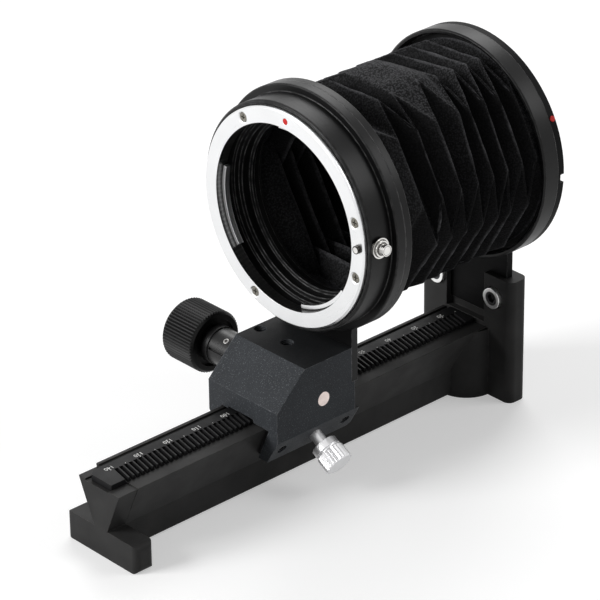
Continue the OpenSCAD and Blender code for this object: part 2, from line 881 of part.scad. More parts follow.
// Screws through the plate's back: two into the carriage and four into the lens housing
module front_standard_screws() {
    color([0.2, 0.2, 0.2])
        from_front() {
            for (side = [-1, 1])
                translate([side * plate_screw_x, front_plate_y + plate_t, plate_screw_z])
                    rotate([90, 0, 0])
                        flat_screw(1.2, 2.4, plate_t + 4.5);
            for (a = housing_screw_angles)
                on_face(a, screw_circle_r, front_plate_y + plate_t)
                    mirror([0, 0, 1])
                        flat_screw(0.9, 1.7, plate_t + 2.8);
        }
}

housing_screw_angles = [45, 135, 225, 315];
ring_screw_angles = [17, 122, 246, 345];
housing_r = mount_ring_r + 1.3;

// Black housing behind the bright ring: stepped outside, baffled inside
module lens_housing() {
    y0 = flange_y + ring_shows;
    recess_r = mount_ring_r + 0.3;
    seat = flange_y + mount_ring_t;
    band = front_plate_y - band_len;
    end = front_plate_y;
    slot_w = release_pin_r + fit_gap + 0.05;
    color([0.06, 0.06, 0.065])
        from_front()
            difference() {
                turned_y()
                    polygon([
                        [recess_r, y0], [housing_r - 0.4, y0], [housing_r, y0 + 0.4],
                        [housing_r, band], [front_plate_r - 0.25, band],
                        [front_plate_r, band + 0.25], [front_plate_r, end],
                        [frame_in_r - 1.2, end], [frame_in_r - 1.2, end - 1],
                        [frame_in_r - 0.2, end - 1], [frame_in_r - 0.2, end - 3.6],
                        [throat_r + 0.1, end - 3.6], [throat_r + 0.1, end - 5.2],
                        [throat_r + skirt_t + 0.1, end - 5.2],
                        [throat_r + skirt_t + 0.1, seat], [recess_r, seat]
                    ]);
                for (a = ring_screw_angles)
                    on_face(a, screw_circle_r, seat - cut)
                        cylinder(h = 3.2 + cut, r = 0.9 + fit_gap, $fn = 32);
                for (a = housing_screw_angles)
                    on_face(a, screw_circle_r, end - 3.1)
                        cylinder(h = 3.1 + cut, r = 0.9 + fit_gap, $fn = 32);
                // bore for the lock pin and its spring
                on_face(release_angle, lock_circle_r, seat - cut)
                    cylinder(h = spring_end_y - seat + cut, r = lock_body_r + fit_gap, $fn = 48);
                // slot for the release pin
                for (dy = [0, release_travel + 0.1])
                    release_place(dy - 0.05)
                        translate([0, 0, lock_circle_r])
                            cylinder(h = 8, r = slot_w, $fn = 48);
                release_place(0)
                    translate([-slot_w, 0, lock_circle_r])
                        cube([2 * slot_w, release_travel + 0.05, 8]);
            }
}

// Stands children at the release pin, +Z pointing straight out from the lens axis
module release_place(dy) {
    translate([0, release_y + dy, axis_z])
        rotate([0, 90 - release_angle, 0])
            children();
}

// Bright ring with three claws inside its throat
module lens_bayonet() {
    color([0.86, 0.87, 0.88])
        from_front()
            difference() {
                union() {
                    turned_y()
                        polygon([
                            [throat_r, flange_y], [mount_ring_r - 0.4, flange_y],
                            [mount_ring_r, flange_y + 0.4], [mount_ring_r, flange_y + mount_ring_t],
                            [throat_r + skirt_t, flange_y + mount_ring_t],
                            [throat_r + skirt_t, claw_back_y], [throat_r, claw_back_y]
                        ]);
                    for (claw = claws)
                        translate([0, flange_y + mount_ring_t, axis_z])
                            rotate([-90, 0, 0])
                                rotate([0, 0, -claw[1]])
                                    rotate_extrude(angle = claw[1] - claw[0], $fn = 128)
                                        translate([throat_r - claw_reach, 0])
                                            square([claw_reach + 0.6, claw_t]);
                }
                for (a = ring_screw_angles)
                    on_face(a, screw_circle_r, flange_y)
                        flat_screw_hole(0.9, 1.6, mount_ring_t + cut);
                on_face(release_angle, lock_circle_r, flange_y - cut)
                    cylinder(h = mount_ring_t + 2 * cut, r = lock_pin_r + fit_gap, $fn = 32);
                on_face(index_angle, screw_circle_r, flange_y - cut)
                    cylinder(h = 0.5 + cut, r = 0.9, $fn = 32);
            }
}

claws = [[47, 97], [166, 218], [281, 325]];
index_angle = 87;

module lens_bayonet_screws() {
    color([0.6, 0.6, 0.58])
        from_front()
            for (a = ring_screw_angles)
                on_face(a, screw_circle_r, flange_y + 0.25)
                    flat_screw(0.9, 1.35, mount_ring_t + 2.35);
}

// Thin leaf springs behind the claws that take up a lens's play
module bayonet_springs() {
    color([0.55, 0.56, 0.58])
        from_front()
            for (claw = claws)
                translate([0, claw_back_y + 0.05, axis_z])
                    rotate([-90, 0, 0])
                        rotate([0, 0, -claw[1] + 8])
                            rotate_extrude(angle = claw[1] - claw[0] - 16, $fn = 128)
                                translate([throat_r - 0.75, 0])
                                    square([1.55, 0.25]);
}

module front_index_dot() {
    color("red")
        from_front()
            on_face(index_angle, screw_circle_r, flange_y + 0.05)
                cylinder(h = 0.4, r = 0.85, $fn = 32);
}

// ---------- lens release ----------

module lock_pin() {
    body_y = flange_y + mount_ring_t + 0.3;
    end_y = release_y + release_pin_r + 0.6;
    color([0.82, 0.82, 0.83])
        from_front()
            difference() {
                union() {
                    on_face(release_angle, lock_circle_r, flange_y - lock_pin_tip)
                        cylinder(h = body_y - flange_y + lock_pin_tip + cut, r = lock_pin_r, $fn = 48);
                    on_face(release_angle, lock_circle_r, body_y)
                        cylinder(h = end_y - body_y, r = lock_body_r, $fn = 48);
                }
                release_place(0)
                    translate([0, 0, lock_circle_r - 0.9])
                        cylinder(h = 6, r = release_stem_r + 0.03, $fn = 32);
            }
}

release_stem_r = 0.7;

// Stepped pin with its two washers, which the finger draws back
module release_pin() {
    washer_t = 0.55;
    washer_at = housing_r + 0.2;
    grip_at = washer_at + 2 * washer_t;
    pin_at = lock_circle_r + lock_body_r + 0.3;
    color([0.82, 0.82, 0.83])
        from_front()
            release_place(0) {
                translate([0, 0, lock_circle_r - 0.8])
                    cylinder(h = 3, r = release_stem_r, $fn = 32);
                translate([0, 0, pin_at])
                    cylinder(h = grip_at - pin_at, r = release_pin_r, $fn = 48);
                translate([0, 0, washer_at])
                    cylinder(h = washer_t, r = 2.85, $fn = 64);
                translate([0, 0, washer_at + washer_t])
                    cylinder(h = washer_t, r = 2.2, $fn = 64);
                translate([0, 0, grip_at - cut])
                    cylinder(h = 1.7 + cut, r = 1.55, $fn = 48);
            }
}

// Coil spring behind the lock pin: one round wire wound by formula
module release_spring() {
    turns = 5;
    wire_r = 0.15;
    coil_r = 0.93;
    steps = 12;
    sides = 6;
    y0 = release_y + release_pin_r + 0.65 + wire_r;
    y1 = spring_end_y - 0.05 - wire_r;
    n = turns * steps;
    lead = atan((y1 - y0) / turns / (2 * PI * coil_r));
    function coil_point(i) =
        [coil_r * cos(i * 360 / steps), coil_r * sin(i * 360 / steps), i * (y1 - y0) / n];
    points = [
        for (i = [0 : n], k = [0 : sides - 1])
            let (a = i * 360 / steps,
                 b = k * 360 / sides,
                 out = coil_r + wire_r * cos(b),
                 up = wire_r * sin(b))
            [out * cos(a) + up * sin(lead) * sin(a), out * sin(a) - up * sin(lead) * cos(a),
             i * (y1 - y0) / n + up * cos(lead)]
    ];
    wall = [
        for (i = [0 : n - 1], k = [0 : sides - 1])
            let (m = (k + 1) % sides)
            each [[i * sides + k, (i + 1) * sides + m, (i + 1) * sides + k],
                  [i * sides + k, i * sides + m, (i + 1) * sides + m]]
    ];
    ends = [[for (k = [sides - 1 : -1 : 0]) k], [for (k = [0 : sides - 1]) n * sides + k]];
    gaps = [for (i = [0 : n - steps]) norm(coil_point(i + steps) - coil_point(i)) - 2 * wire_r];
    echo(release_spring_gap = min(gaps));
    color([0.7, 0.7, 0.7])
        from_front()
            on_face(release_angle, lock_circle_r, y0)
                polyhedron(points, concat(wall, ends));
}

// ---------- focus drive ----------

module pinion_shaft() {
    inner = knob_face_x + knob_bore_depth - 0.5;
    color([0.72, 0.5, 0.38])
        from_front()
            pin_x(-inner, shaft_r, inner + carriage_w / 2);
}

function involute(a) = tan(a) * 180 / PI - a;
function tooth_half_angle(r) =
    let (slant_pressure = atan(tan(20) / cos(tooth_slant)),
         base_r = pinion_r * cos(slant_pressure),
         at = acos(min(1, base_r / r)))
    90 / pinion_teeth + involute(slant_pressure) - involute(at) - tooth_play / 2 / r * 180 / PI;

// Slanted-tooth pinion; one tooth stands straight down into the rack
module pinion() {
    tip_r = pinion_r + tooth_module - 0.03;
    root_r = pinion_r - 1.25 * tooth_module;
    base_r = pinion_r * cos(atan(tan(20) / cos(tooth_slant)));
    radii = [root_r, base_r, pinion_r, tip_r];
    turn = pinion_w * tan(tooth_slant) / pinion_r * 180 / PI;
    outline = [
        for (k = [0 : pinion_teeth - 1], s = [-1, 1], j = [0 : 3])
            let (r = s < 0 ? radii[j] : radii[3 - j],
                 a = -90 + k * 360 / pinion_teeth + s * tooth_half_angle(max(r, base_r)))
            r * [cos(a), sin(a)]
    ];
    color([0.72, 0.55, 0.3])
        from_front()
            difference() {
                translate([pinion_x - pinion_w / 2, shaft_y, shaft_z])
                    rotate([90, 0, 90])
                        rotate(turn / 2)
                            linear_extrude(pinion_w, twist = turn, slices = 4)
                                polygon(outline);
                pin_x(-pinion_w, shaft_r + 0.02, 2 * pinion_w);
            }
}

module focus_knob() {
    x1 = -knob_face_x;
    color([0.05, 0.05, 0.05])
        from_front()
            difference() {
                intersection() {
                    translate([x1 - knob_len, shaft_y, shaft_z])
                        rotate([90, 0, 90])
                            linear_extrude(knob_len)
                                fluted_outline(knob_r, knob_flutes, 0.45);
                    translate([x1 - knob_len, shaft_y, shaft_z])
                        rotate([0, 90, 0])
                            rotate_extrude()
                                polygon([
                                    [0, 0], [knob_r - 1.2, 0], [knob_r + 0.3, 1.5],
                                    [knob_r + 0.3, knob_len - 1.1], [knob_r - 0.8, knob_len], [0, knob_len]
                                ]);
                }
                pin_x(x1 - knob_bore_depth, shaft_r + 0.02, knob_bore_depth + cut);
                // dished inner and outer faces
                pin_x(x1 - 0.8, knob_r - 2.2, 0.8 + cut);
                pin_x(x1 - knob_len - cut, knob_r - 2.4, 0.5 + cut);
                knob_screw_place()
                    cylinder(h = knob_r, r = 1.25, $fn = 32);
            }
}

// Stands children on the shaft inside the knob, at its lower back
module knob_screw_place() {
    translate([-knob_face_x - 5, shaft_y, shaft_z])
        rotate([-125, 0, 0])
            translate([0, 0, shaft_r + 0.05])
                children();
}

module knob_grub_screw() {
    color([0.3, 0.3, 0.3])
        from_front()
            knob_screw_place()
                grub_screw(1.2, 4, 1.3);
}

// ---------- lock screw ----------

module lock_thumb_screw() {
    collar_len = 2.0;
    collar_r = lock_head_r - 0.3;
    neck_len = 0.7;
    head_at = lock_gap + collar_len + neck_len;
    color([0.85, 0.85, 0.86])
        from_front()
            on_jaw(lock_y, 0) {
                translate([0, 0, -jaw_wall + 0.1])
                    cylinder(h = jaw_wall + head_at, r = lock_r, $fn = 64);
                translate([0, 0, lock_gap])
                    cylinder(h = collar_len, r = collar_r, $fn = 64);
                translate([0, 0, lock_gap + collar_len - cut])
                    cylinder(h = neck_len + 2 * cut, r = collar_r - 0.6, $fn = 64);
                translate([0, 0, head_at])
                    intersection() {
                        linear_extrude(lock_head_len)
                            fluted_outline(lock_head_r, lock_flutes, 0.4);
                        rotate_extrude($fn = 64)
                            polygon([
                                [0, 0], [lock_head_r + 0.3, 0], [lock_head_r + 0.3, lock_head_len - 0.5],
                                [lock_head_r - 0.5, lock_head_len], [0, lock_head_len]
                            ]);
                    }
            }
}

rail_casting();
rack_scale();
rear_standard();
rear_standard_screws();
rear_cup();
camera_bayonet();
camera_bayonet_screws();
rear_index_dot();
bellows_rear_frame();
bellows();
carriage_block();
gib_strip();
gib_screws();
sleeve_clamp_screws();
pinion_sleeve();
sleeve_set_screw();
front_standard();
front_standard_screws();
lens_housing();
lens_bayonet();
lens_bayonet_screws();
bayonet_springs();
front_index_dot();
bellows_front_frame();
release_spring();
pinion_shaft();
pinion();
focus_knob();
knob_grub_screw();
lock_thumb_screw();
lock_pin();
release_pin();
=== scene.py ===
"""Looks of a macro bellows unit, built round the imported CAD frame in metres."""

import logging
import math
from dataclasses import dataclass, field, replace
from enum import Enum

import bmesh
import bpy
from mathutils import Matrix, Vector, noise


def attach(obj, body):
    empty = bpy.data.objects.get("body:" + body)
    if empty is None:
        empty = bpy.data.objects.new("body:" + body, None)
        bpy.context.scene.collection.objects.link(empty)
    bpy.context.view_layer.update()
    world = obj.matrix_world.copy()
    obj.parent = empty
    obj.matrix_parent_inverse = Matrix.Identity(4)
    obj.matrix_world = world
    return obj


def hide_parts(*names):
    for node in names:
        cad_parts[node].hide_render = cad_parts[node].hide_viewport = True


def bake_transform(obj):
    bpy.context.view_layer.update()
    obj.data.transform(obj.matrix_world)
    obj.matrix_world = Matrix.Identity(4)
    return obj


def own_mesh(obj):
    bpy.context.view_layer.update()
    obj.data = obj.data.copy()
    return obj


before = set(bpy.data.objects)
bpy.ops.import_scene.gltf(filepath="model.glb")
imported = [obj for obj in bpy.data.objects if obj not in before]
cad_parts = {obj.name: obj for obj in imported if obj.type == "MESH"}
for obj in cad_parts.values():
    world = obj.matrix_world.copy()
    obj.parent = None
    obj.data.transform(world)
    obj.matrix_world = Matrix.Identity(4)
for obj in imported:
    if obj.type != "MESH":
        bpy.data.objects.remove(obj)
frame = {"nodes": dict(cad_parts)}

LOG = logging.getLogger("macro_bellows")
MM = 0.001
SOCKET_AT = 133.2
AXIS_Z = 75.0
Colour = tuple[float, float, float]
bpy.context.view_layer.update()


def row(x: float, y: float, z: float) -> Vector:
    """Returns a point given in mm, with y counted from the rail's front end, in the row frame."""
    return Vector((x, y - SOCKET_AT, z)) * MM


# ---------- shader nodes ----------


class Channel:
    """A node's output, on which Python's operators add Math nodes."""

    def __init__(self, tree: bpy.types.NodeTree, socket: bpy.types.NodeSocket) -> None:
        """Keeps the tree and the socket."""
        self.tree = tree
        self.socket = socket

    def math(self, operation: str, *terms: "Channel | float", clamp: bool = False) -> "Channel":
        """Adds a Math node.

        Args:
            operation: the node's operation.
            terms: its inputs in order, as channels or numbers.
            clamp: whether the result is kept within 0 and 1.

        Returns:
            The node's output.
        """
        node = self.tree.nodes.new("ShaderNodeMath")
        node.operation = operation
        node.use_clamp = clamp
        for slot, term in zip(node.inputs, terms):
            if isinstance(term, Channel):
                self.tree.links.new(term.socket, slot)
            else:
                slot.default_value = term
        return Channel(self.tree, node.outputs[0])

    def __add__(self, other: "Channel | float") -> "Channel":
        """Sum."""
        return self.math("ADD", self, other)

    def __radd__(self, other: float) -> "Channel":
        """Sum, reflected."""
        return self.math("ADD", other, self)

    def __sub__(self, other: "Channel | float") -> "Channel":
        """Difference."""
        return self.math("SUBTRACT", self, other)

    def __rsub__(self, other: float) -> "Channel":
        """Difference, reflected."""
        return self.math("SUBTRACT", other, self)

    def __mul__(self, other: "Channel | float") -> "Channel":
        """Product."""
        return self.math("MULTIPLY", self, other)

    def __rmul__(self, other: float) -> "Channel":
        """Product, reflected."""
        return self.math("MULTIPLY", other, self)

    def magnitude(self) -> "Channel":
        """Returns the value without its sign."""
        return self.math("ABSOLUTE", self)

    def root(self) -> "Channel":
        """Returns the square root."""
        return self.math("SQRT", self)

    def within(self, low: float, high: float) -> "Channel":
        """Returns 0 at low and 1 at high, clamped, so that a high below low turns it round."""
        return self.math("MULTIPLY", self - low, 1.0 / (high - low), clamp=True)


class Graph:
    """A node tree in the making."""

    def __init__(self, tree: bpy.types.NodeTree) -> None:
        """Empties the tree and keeps it."""
        self.tree = tree
        self.tree.nodes.clear()

    def node(
        self,
        kind: str,
        settings: dict[str, object] | None = None,
        inputs: dict[str | int, object] | None = None,
        out: str | int = 0,
    ) -> Channel:
        """Adds a node.

        Args:
            kind: the node's type without its ShaderNode prefix.
            settings: its properties, set before its inputs.
            inputs: values or channels for its sockets, by name or place.
            out: the output that is wanted, by name or place.

        Returns:
            That output.
        """
        made = self.tree.nodes.new("ShaderNode" + kind)
        for key, value in (settings or {}).items():
            setattr(made, key, value)
        for key, value in (inputs or {}).items():
            if isinstance(value, Channel):
                self.tree.links.new(value.socket, made.inputs[key])
            else:
                made.inputs[key].default_value = value
        return Channel(self.tree, made.outputs[out])

    def close(self, kind: str, shader: Channel) -> None:
        """Links a shader to a new output node of that kind."""
        output = self.tree.nodes.new("ShaderNode" + kind)
        self.tree.links.new(shader.socket, output.inputs["Surface"])

    def shown(self) -> Channel:
        """Returns 1 on rays that reach the camera straight, mirrored or through glass, else 0."""
        camera, mirrored, through = (
            self.node("LightPath", out=f"Is {kind} Ray")
            for kind in ("Camera", "Glossy", "Transmission")
        )
        return camera + mirrored + through


class Surface(Graph):
    """A node material in the making."""

    def __init__(self, name: str) -> None:
        """Starts an empty material.

        Args:
            name: the material's name.
        """
        self.material = bpy.data.materials.new(name)
        self.material.use_nodes = True
        super().__init__(self.material.node_tree)

    def place(self) -> Channel:
        """Returns the object coordinates, which are the row frame in metres."""
        return self.node("TexCoord", out="Object")

    def upward(self) -> Channel:
        """Returns 1 where the surface faces up, 0 where it is upright and -1 where it hangs."""
        flat = self.node("NewGeometry", out="Normal")
        return self.vector("DOT_PRODUCT", flat, (0.0, 0.0, 1.0), out="Value")

    def noise(self, size_mm: float, detail: float = 2.0, where: Channel | None = None) -> Channel:
        """Makes noise.

        Args:
            size_mm: about how wide its blobs are.
            detail: how many finer layers it has.
            where: the coordinates that it follows, else the object's.

        Returns:
            The noise, from 0 to 1.
        """
        return self.node(
            "TexNoise",
            inputs={"Vector": where or self.place(), "Scale": 1 / (size_mm * MM), "Detail": detail},
        )

    def cells(self, size_mm: float) -> Channel:
        """Makes cells round scattered points.

        Args:
            size_mm: about how far apart the points are.

        Returns:
            The distance to the nearest point, as a share of size_mm.
        """
        return self.node(
            "TexVoronoi",
            settings={"feature": "SMOOTH_F1"},
            inputs={"Vector": self.place(), "Scale": 1 / (size_mm * MM), "Smoothness": 0.6},
            out="Distance",
        )

    def blend(self, share: Channel, low: Colour | Channel, high: Colour | Channel) -> Channel:
        """Mixes two colours.

        Args:
            share: how much of the second there is.
            low: the first colour, where share is 0.
            high: the second colour, where share is 1.

        Returns:
            The mixed colour.
        """
        ends = [c if isinstance(c, Channel) else (*c, 1.0) for c in (low, high)]
        return self.node(
            "Mix", settings={"data_type": "RGBA"}, inputs={0: share, 6: ends[0], 7: ends[1]}, out=2
        )

    def vector(
        self, operation: str, first: object, second: object = None, out: str | int = 0
    ) -> Channel:
        """Returns a Vector Math node's output."""
        inputs = {0: first} if second is None else {0: first, 1: second}
        return self.node("VectorMath", {"operation": operation}, inputs, out)

    def about_axis(self, centre: Vector, axis: Vector) -> tuple[Channel, Channel]:
        """Measures each point against an axis.

        Args:
            centre: a point on the axis.
            axis: its direction, of length 1.

        Returns:
            The distance from the axis and the distance along it, in metres.
        """
        arm = self.vector("SUBTRACT", self.place(), tuple(centre))
        along = self.vector("DOT_PRODUCT", arm, tuple(axis), out="Value")
        reach = self.vector("LENGTH", arm, out="Value")
        return (reach * reach - along * along).root(), along

    def rounded(self, radius_mm: float) -> Channel:
        """Returns the normal with the edges rounded over by radius_mm."""
        return self.node("Bevel", {"samples": 6}, {"Radius": radius_mm * MM})

    def edges(self, soft_normal: Channel, gain: float) -> Channel:
        """Finds the sharp edges.

        Args:
            soft_normal: the rounded normal.
            gain: how soon an edge counts as sharp.

        Returns:
            1 on sharp edges and 0 elsewhere.
        """
        flat = self.node("NewGeometry", out="Normal")
        same = self.vector("DOT_PRODUCT", soft_normal, flat, out="Value")
        return same.math("MULTIPLY", 1.0 - same, gain, clamp=True)

    def bump(self, height: Channel, depth_mm: float, normal: Channel) -> Channel:
        """Adds relief.

        Args:
            height: the relief, from 0 to 1.
            depth_mm: how high 1 is.
            normal: the normal that it stands on.

        Returns:
            The new normal.
        """
        return self.node(
            "Bump",
            inputs={"Strength": 1.0, "Distance": depth_mm * MM, "Height": height, "Normal": normal},
        )

    def done(self, inputs: dict[str, object]) -> bpy.types.Material:
        """Closes the material with a Principled shader.

        Args:
            inputs: the shader's values and channels by socket name.

        Returns:
            The material.
        """
        self.close("OutputMaterial", self.node("BsdfPrincipled", inputs=inputs))
        return self.material


# ---------- finishes ----------


@dataclass(frozen=True)
class Finish:
    """A coated or bare surface with a grain, uneven colour and rounded edges, whose colour is
    partly wear and partly painted light.
    """

    name: str
    colour: Colour
    roughness: float
    metallic: float = 0.0
    specular: float = 0.5
    edge_colour: Colour | None = None
    edge_gain: float = 2.0
    round_mm: float = 0.15
    grain_mm: float = 0.35
    grain_depth_mm: float = 0.01
    mottle: float = 0.25
    mottle_mm: float = 9.0
    scuff_mm: float = 2.2
    haze_mm: float = 5.0

    def colours(self, surface: Surface, edge: Channel) -> Channel:
        """Mottles the colour and colours the edges, partly as wear and partly as painted light.

        Args:
            surface: the material in the making.
            edge: 1 on sharp edges and 0 elsewhere.

        Returns:
            The base colour.
        """
        lighter = tuple(min(1.0, c * (1 + self.mottle)) for c in self.colour)
        darker = tuple(c * (1 - self.mottle) for c in self.colour)
        patches = surface.noise(self.mottle_mm, 4.0).within(0.3, 0.7)
        base = surface.blend(patches, darker, lighter)
        if self.edge_colour is None:
            return base
        # Edge colour is partly wear and partly painted highlight: on the anodised parts, the chrome
        # and the carriage's chamfer it stands in for light catching the edges.
        edge_wear_and_painted_light = edge * surface.noise(self.scuff_mm, 5.0).within(0.38, 0.62)
        return surface.blend(edge_wear_and_painted_light, base, self.edge_colour)

    def relief(self, surface: Surface, normal: Channel) -> Channel:
        """Returns the normal with the finish's grain on it."""
        return surface.bump(surface.noise(self.grain_mm, 3.0), self.grain_depth_mm, normal)

    def gloss(self, surface: Surface) -> Channel:
        """Returns the roughness, a little uneven."""
        return surface.noise(self.haze_mm, 4.0) * (self.roughness * 0.5) + self.roughness * 0.75

    def build(self) -> bpy.types.Material:
        """Makes the finish's material.

        Returns:
            The material.
        """
        surface = Surface(self.name)
        soft = surface.rounded(self.round_mm)
        return surface.done(
            {
                "Base Color": self.colours(surface, surface.edges(soft, self.edge_gain)),
                "Roughness": self.gloss(surface),
                "Metallic": self.metallic,
                "Specular IOR Level": self.specular,
                "Normal": self.relief(surface, soft),
            }
        )


@dataclass(frozen=True)
class TurnedFinish(Finish):
    """A finish left by a lathe: fine rings round an axis."""

    centre: tuple[float, float, float] = (0.0, 0.0, AXIS_Z * MM)
    axis: tuple[float, float, float] = (0.0, 1.0, 0.0)
    ring_mm: float = 0.12
    ring_depth_mm: float = 0.002
    haze_mm: float = 8.0

    def rings(self, surface: Surface) -> Channel:
        """Draws noise out into rings round the axis.

        Args:
            surface: the material in the making.

        Returns:
            The rings, from 0 to 1.
        """
        reach, along = surface.about_axis(Vector(self.centre), Vector(self.axis))
        where = surface.node("CombineXYZ", inputs={0: reach, 1: along})
        return surface.noise(self.ring_mm, 2.0, where)

    def relief(self, surface: Surface, normal: Channel) -> Channel:
        """Returns the normal with rings and a faint grain on it."""
        ringed = surface.bump(self.rings(surface), self.ring_depth_mm, normal)
        return surface.bump(surface.noise(self.grain_mm, 3.0), self.grain_depth_mm, ringed)

    def gloss(self, surface: Surface) -> Channel:
        """Varies the roughness from ring to ring.

        Args:
            surface: the material in the making.

        Returns:
            The roughness.
        """
        fine = self.rings(surface) * (self.roughness * 0.5)
        haze = surface.noise(self.haze_mm, 3.0) * (self.roughness * 0.3)
        return fine + haze + self.roughness * 0.6


@dataclass(frozen=True)
class GroovedFinish(TurnedFinish):
    """A turned finish with dark rings of painted shade where grooves are drawn, each given as its
    radius and width in mm.
    """

    grooves: tuple[tuple[float, float], ...] = ()
    groove_colour: Colour = (0.04, 0.04, 0.04)
    fade_mm: float = 0.08

    def colours(self, surface: Surface, edge: Channel) -> Channel:
        """Darkens the grooves with painted shade.

        Args:
            surface: the material in the making.
            edge: 1 on sharp edges and 0 elsewhere.

        Returns:
            The base colour.
        """
        colour = super().colours(surface, edge)
        reach, _ = surface.about_axis(Vector(self.centre), Vector(self.axis))
        for radius, width in self.grooves:
            off = (reach - radius * MM).magnitude()
            # Painted shade for a groove that is drawn by colour, not by shape.
            groove_shade_share = off.within(width / 2 * MM, (width / 2 - self.fade_mm) * MM)
            colour = surface.blend(groove_shade_share, colour, self.groove_colour)
        return colour


@dataclass(frozen=True)
class KnurlFinish(TurnedFinish):
    """A turned finish whose flutes are darkened with painted shade and whose lands are lighter."""

    gap_r: float = 8.76
    land_r: float = 8.9
    gap_colour: Colour = (0.0015, 0.0015, 0.0015)

    def colours(self, surface: Surface, edge: Channel) -> Channel:
        """Darkens the flutes with painted shade.

        Args:
            surface: the material in the making.
            edge: 1 on sharp edges and 0 elsewhere.

        Returns:
            The base colour.
        """
        reach, _ = surface.about_axis(Vector(self.centre), Vector(self.axis))
        # Painted shade: the flutes, nearer the axis than the lands, are darkened.
        land = reach.within(self.gap_r * MM, self.land_r * MM)
        return surface.blend(land, self.gap_colour, super().colours(surface, edge))


@dataclass(frozen=True)
class SocketHeadFinish(Finish):
    """Bright screws with painted shade round their axes, in their sockets and a little beyond."""

    centres: tuple[tuple[float, float, float], ...] = ()
    dark_r: float = 2.1
    dark_colour: Colour = (0.05, 0.05, 0.052)
    fade_mm: float = 0.15

    def colours(self, surface: Surface, edge: Channel) -> Channel:
        """Paints shade round each screw's axis.

        Args:
            surface: the material in the making.
            edge: 1 on sharp edges and 0 elsewhere.

        Returns:
            The base colour.
        """
        colour = super().colours(surface, edge)
        for centre in self.centres:
            reach, _ = surface.about_axis(Vector(centre), Vector((0.0, 1.0, 0.0)))
            # Painted shade in and round each socket.
            socket_shade_share = reach.within(self.dark_r * MM, (self.dark_r - self.fade_mm) * MM)
            colour = surface.blend(socket_shade_share, colour, self.dark_colour)
        return colour


@dataclass(frozen=True)
class SparkleFinish(Finish):
    """Dark paint with a fine grain, pale specks as painted glints most on sloping faces, and a top
    darkened partly as its own finish and partly as painted shade.
    """

    spark_mm: float = 0.28
    spark_colour: Colour = (0.17, 0.176, 0.188)
    upright_share: float = 0.5
    slope_share: float = 0.3
    top_colour: Colour = (0.009, 0.0092, 0.0095)
    top_share: float = 0.85

    def colours(self, surface: Surface, edge: Channel) -> Channel:
        """Puts pale specks on the paint as painted glints, most of them on sloping faces.

        Args:
            surface: the material in the making.
            edge: 1 on sharp edges and 0 elsewhere.

        Returns:
            The base colour.
        """
        upward = surface.upward()
        # Painted glints: the specks are thickest on sloping faces, where the light falls.
        share = upward.within(0.2, 0.65) * self.slope_share + self.upright_share
        specks = surface.noise(self.spark_mm, 1.0).within(0.6, 0.78) * share
        painted = surface.blend(specks, super().colours(surface, edge), self.spark_colour)
        # Upward faces are darkened, partly as a darker finish and partly as painted shade.
        return surface.blend(upward.within(0.9, 0.99) * self.top_share, painted, self.top_colour)


@dataclass(frozen=True)
class ClothFinish:
    """Coated cloth with a pebbled grain and a faint nap."""

    name: str
    colour: Colour
    worn: Colour
    ridge: Colour
    pebble_mm: float = 0.5
    pebble_depth_mm: float = 0.22
    pebble_share: float = 0.8
    weave_mm: float = 0.16
    weave_share: float = 0.35
    rub_mm: float = 0.9
    haze_mm: float = 3.0

    def ground(self, surface: Surface, pebbles: Channel) -> Channel:
        """Colours the cloth between its folds.

        Args:
            surface: the material in the making.
            pebbles: the distance from the middle of a pebble.

        Returns:
            The colour, which is palest on the pebbles of upward faces, partly as wear and partly as
            painted sheen.
        """
        upward = surface.upward().within(0.2, 0.95)
        # Painted sheen: the pebbles of upward faces are paled, partly as wear and mostly where the
        # light falls.
        wear_and_painted_sheen_share = pebbles.within(0.62, 0.12) * (upward * 0.9 + 0.1)
        return surface.blend(wear_and_painted_sheen_share, self.colour, self.worn)

    def rubbed(self, surface: Surface) -> Channel:
        """Returns 1 on the folds' ridges, unevenly, and 0 elsewhere."""
        fold = surface.node("NewGeometry", out="Pointiness").within(0.535, 0.59)
        return fold * (surface.noise(self.rub_mm, 4.0).within(0.3, 0.6) * 0.7 + 0.3)

    def build(self) -> bpy.types.Material:
        """Makes the cloth's material.

        Returns:
            The material.
        """
        surface = Surface(self.name)
        pebbles = surface.cells(self.pebble_mm)
        weave = surface.noise(self.weave_mm, 2.0)
        height = weave * self.weave_share - pebbles * self.pebble_share
        flat = surface.node("NewGeometry", out="Normal")
        ground = self.ground(surface, pebbles)
        return surface.done(
            {
                "Base Color": surface.blend(self.rubbed(surface), ground, self.ridge),
                "Roughness": surface.noise(self.haze_mm, 3.0) * 0.2 + 0.62,
                "Specular IOR Level": 0.1,
                "Sheen Weight": 0.04,
                "Sheen Roughness": 0.4,
                "Sheen Tint": (0.8, 0.82, 0.9, 1.0),
                "Normal": surface.bump(height, self.pebble_depth_mm, flat),
            }
        )


@dataclass(frozen=True)
class PrintFinish:
    """Pale ink, thin in places from wear."""

    name: str
    ink: Colour
    thin: Colour
    wear_mm: float = 0.35

    def build(self) -> bpy.types.Material:
        """Makes the ink's material.

        Returns:
            The material.
        """
        surface = Surface(self.name)
        wear = surface.noise(self.wear_mm, 4.0).within(0.36, 0.6)
        return surface.done(
            {
                "Base Color": surface.blend(wear, self.thin, self.ink),
                "Roughness": 0.6,
                "Specular IOR Level": 0.3,
            }
        )


class Drive(Enum):
    """A point on the axis of each turned part, in the row frame."""

    SHAFT = tuple(row(0.0, 66.3, 26.145))
    LOCK = tuple(row(11.45, 64.9, 15.25))
    RELEASE = tuple(row(0.0, 69.0, 75.0))
    PIN = tuple(row(28.46, 69.0, 76.49))
    LEFT_SCREW = tuple(row(-10.9, 133.2, 31.2))
    RIGHT_SCREW = tuple(row(10.9, 133.2, 31.2))


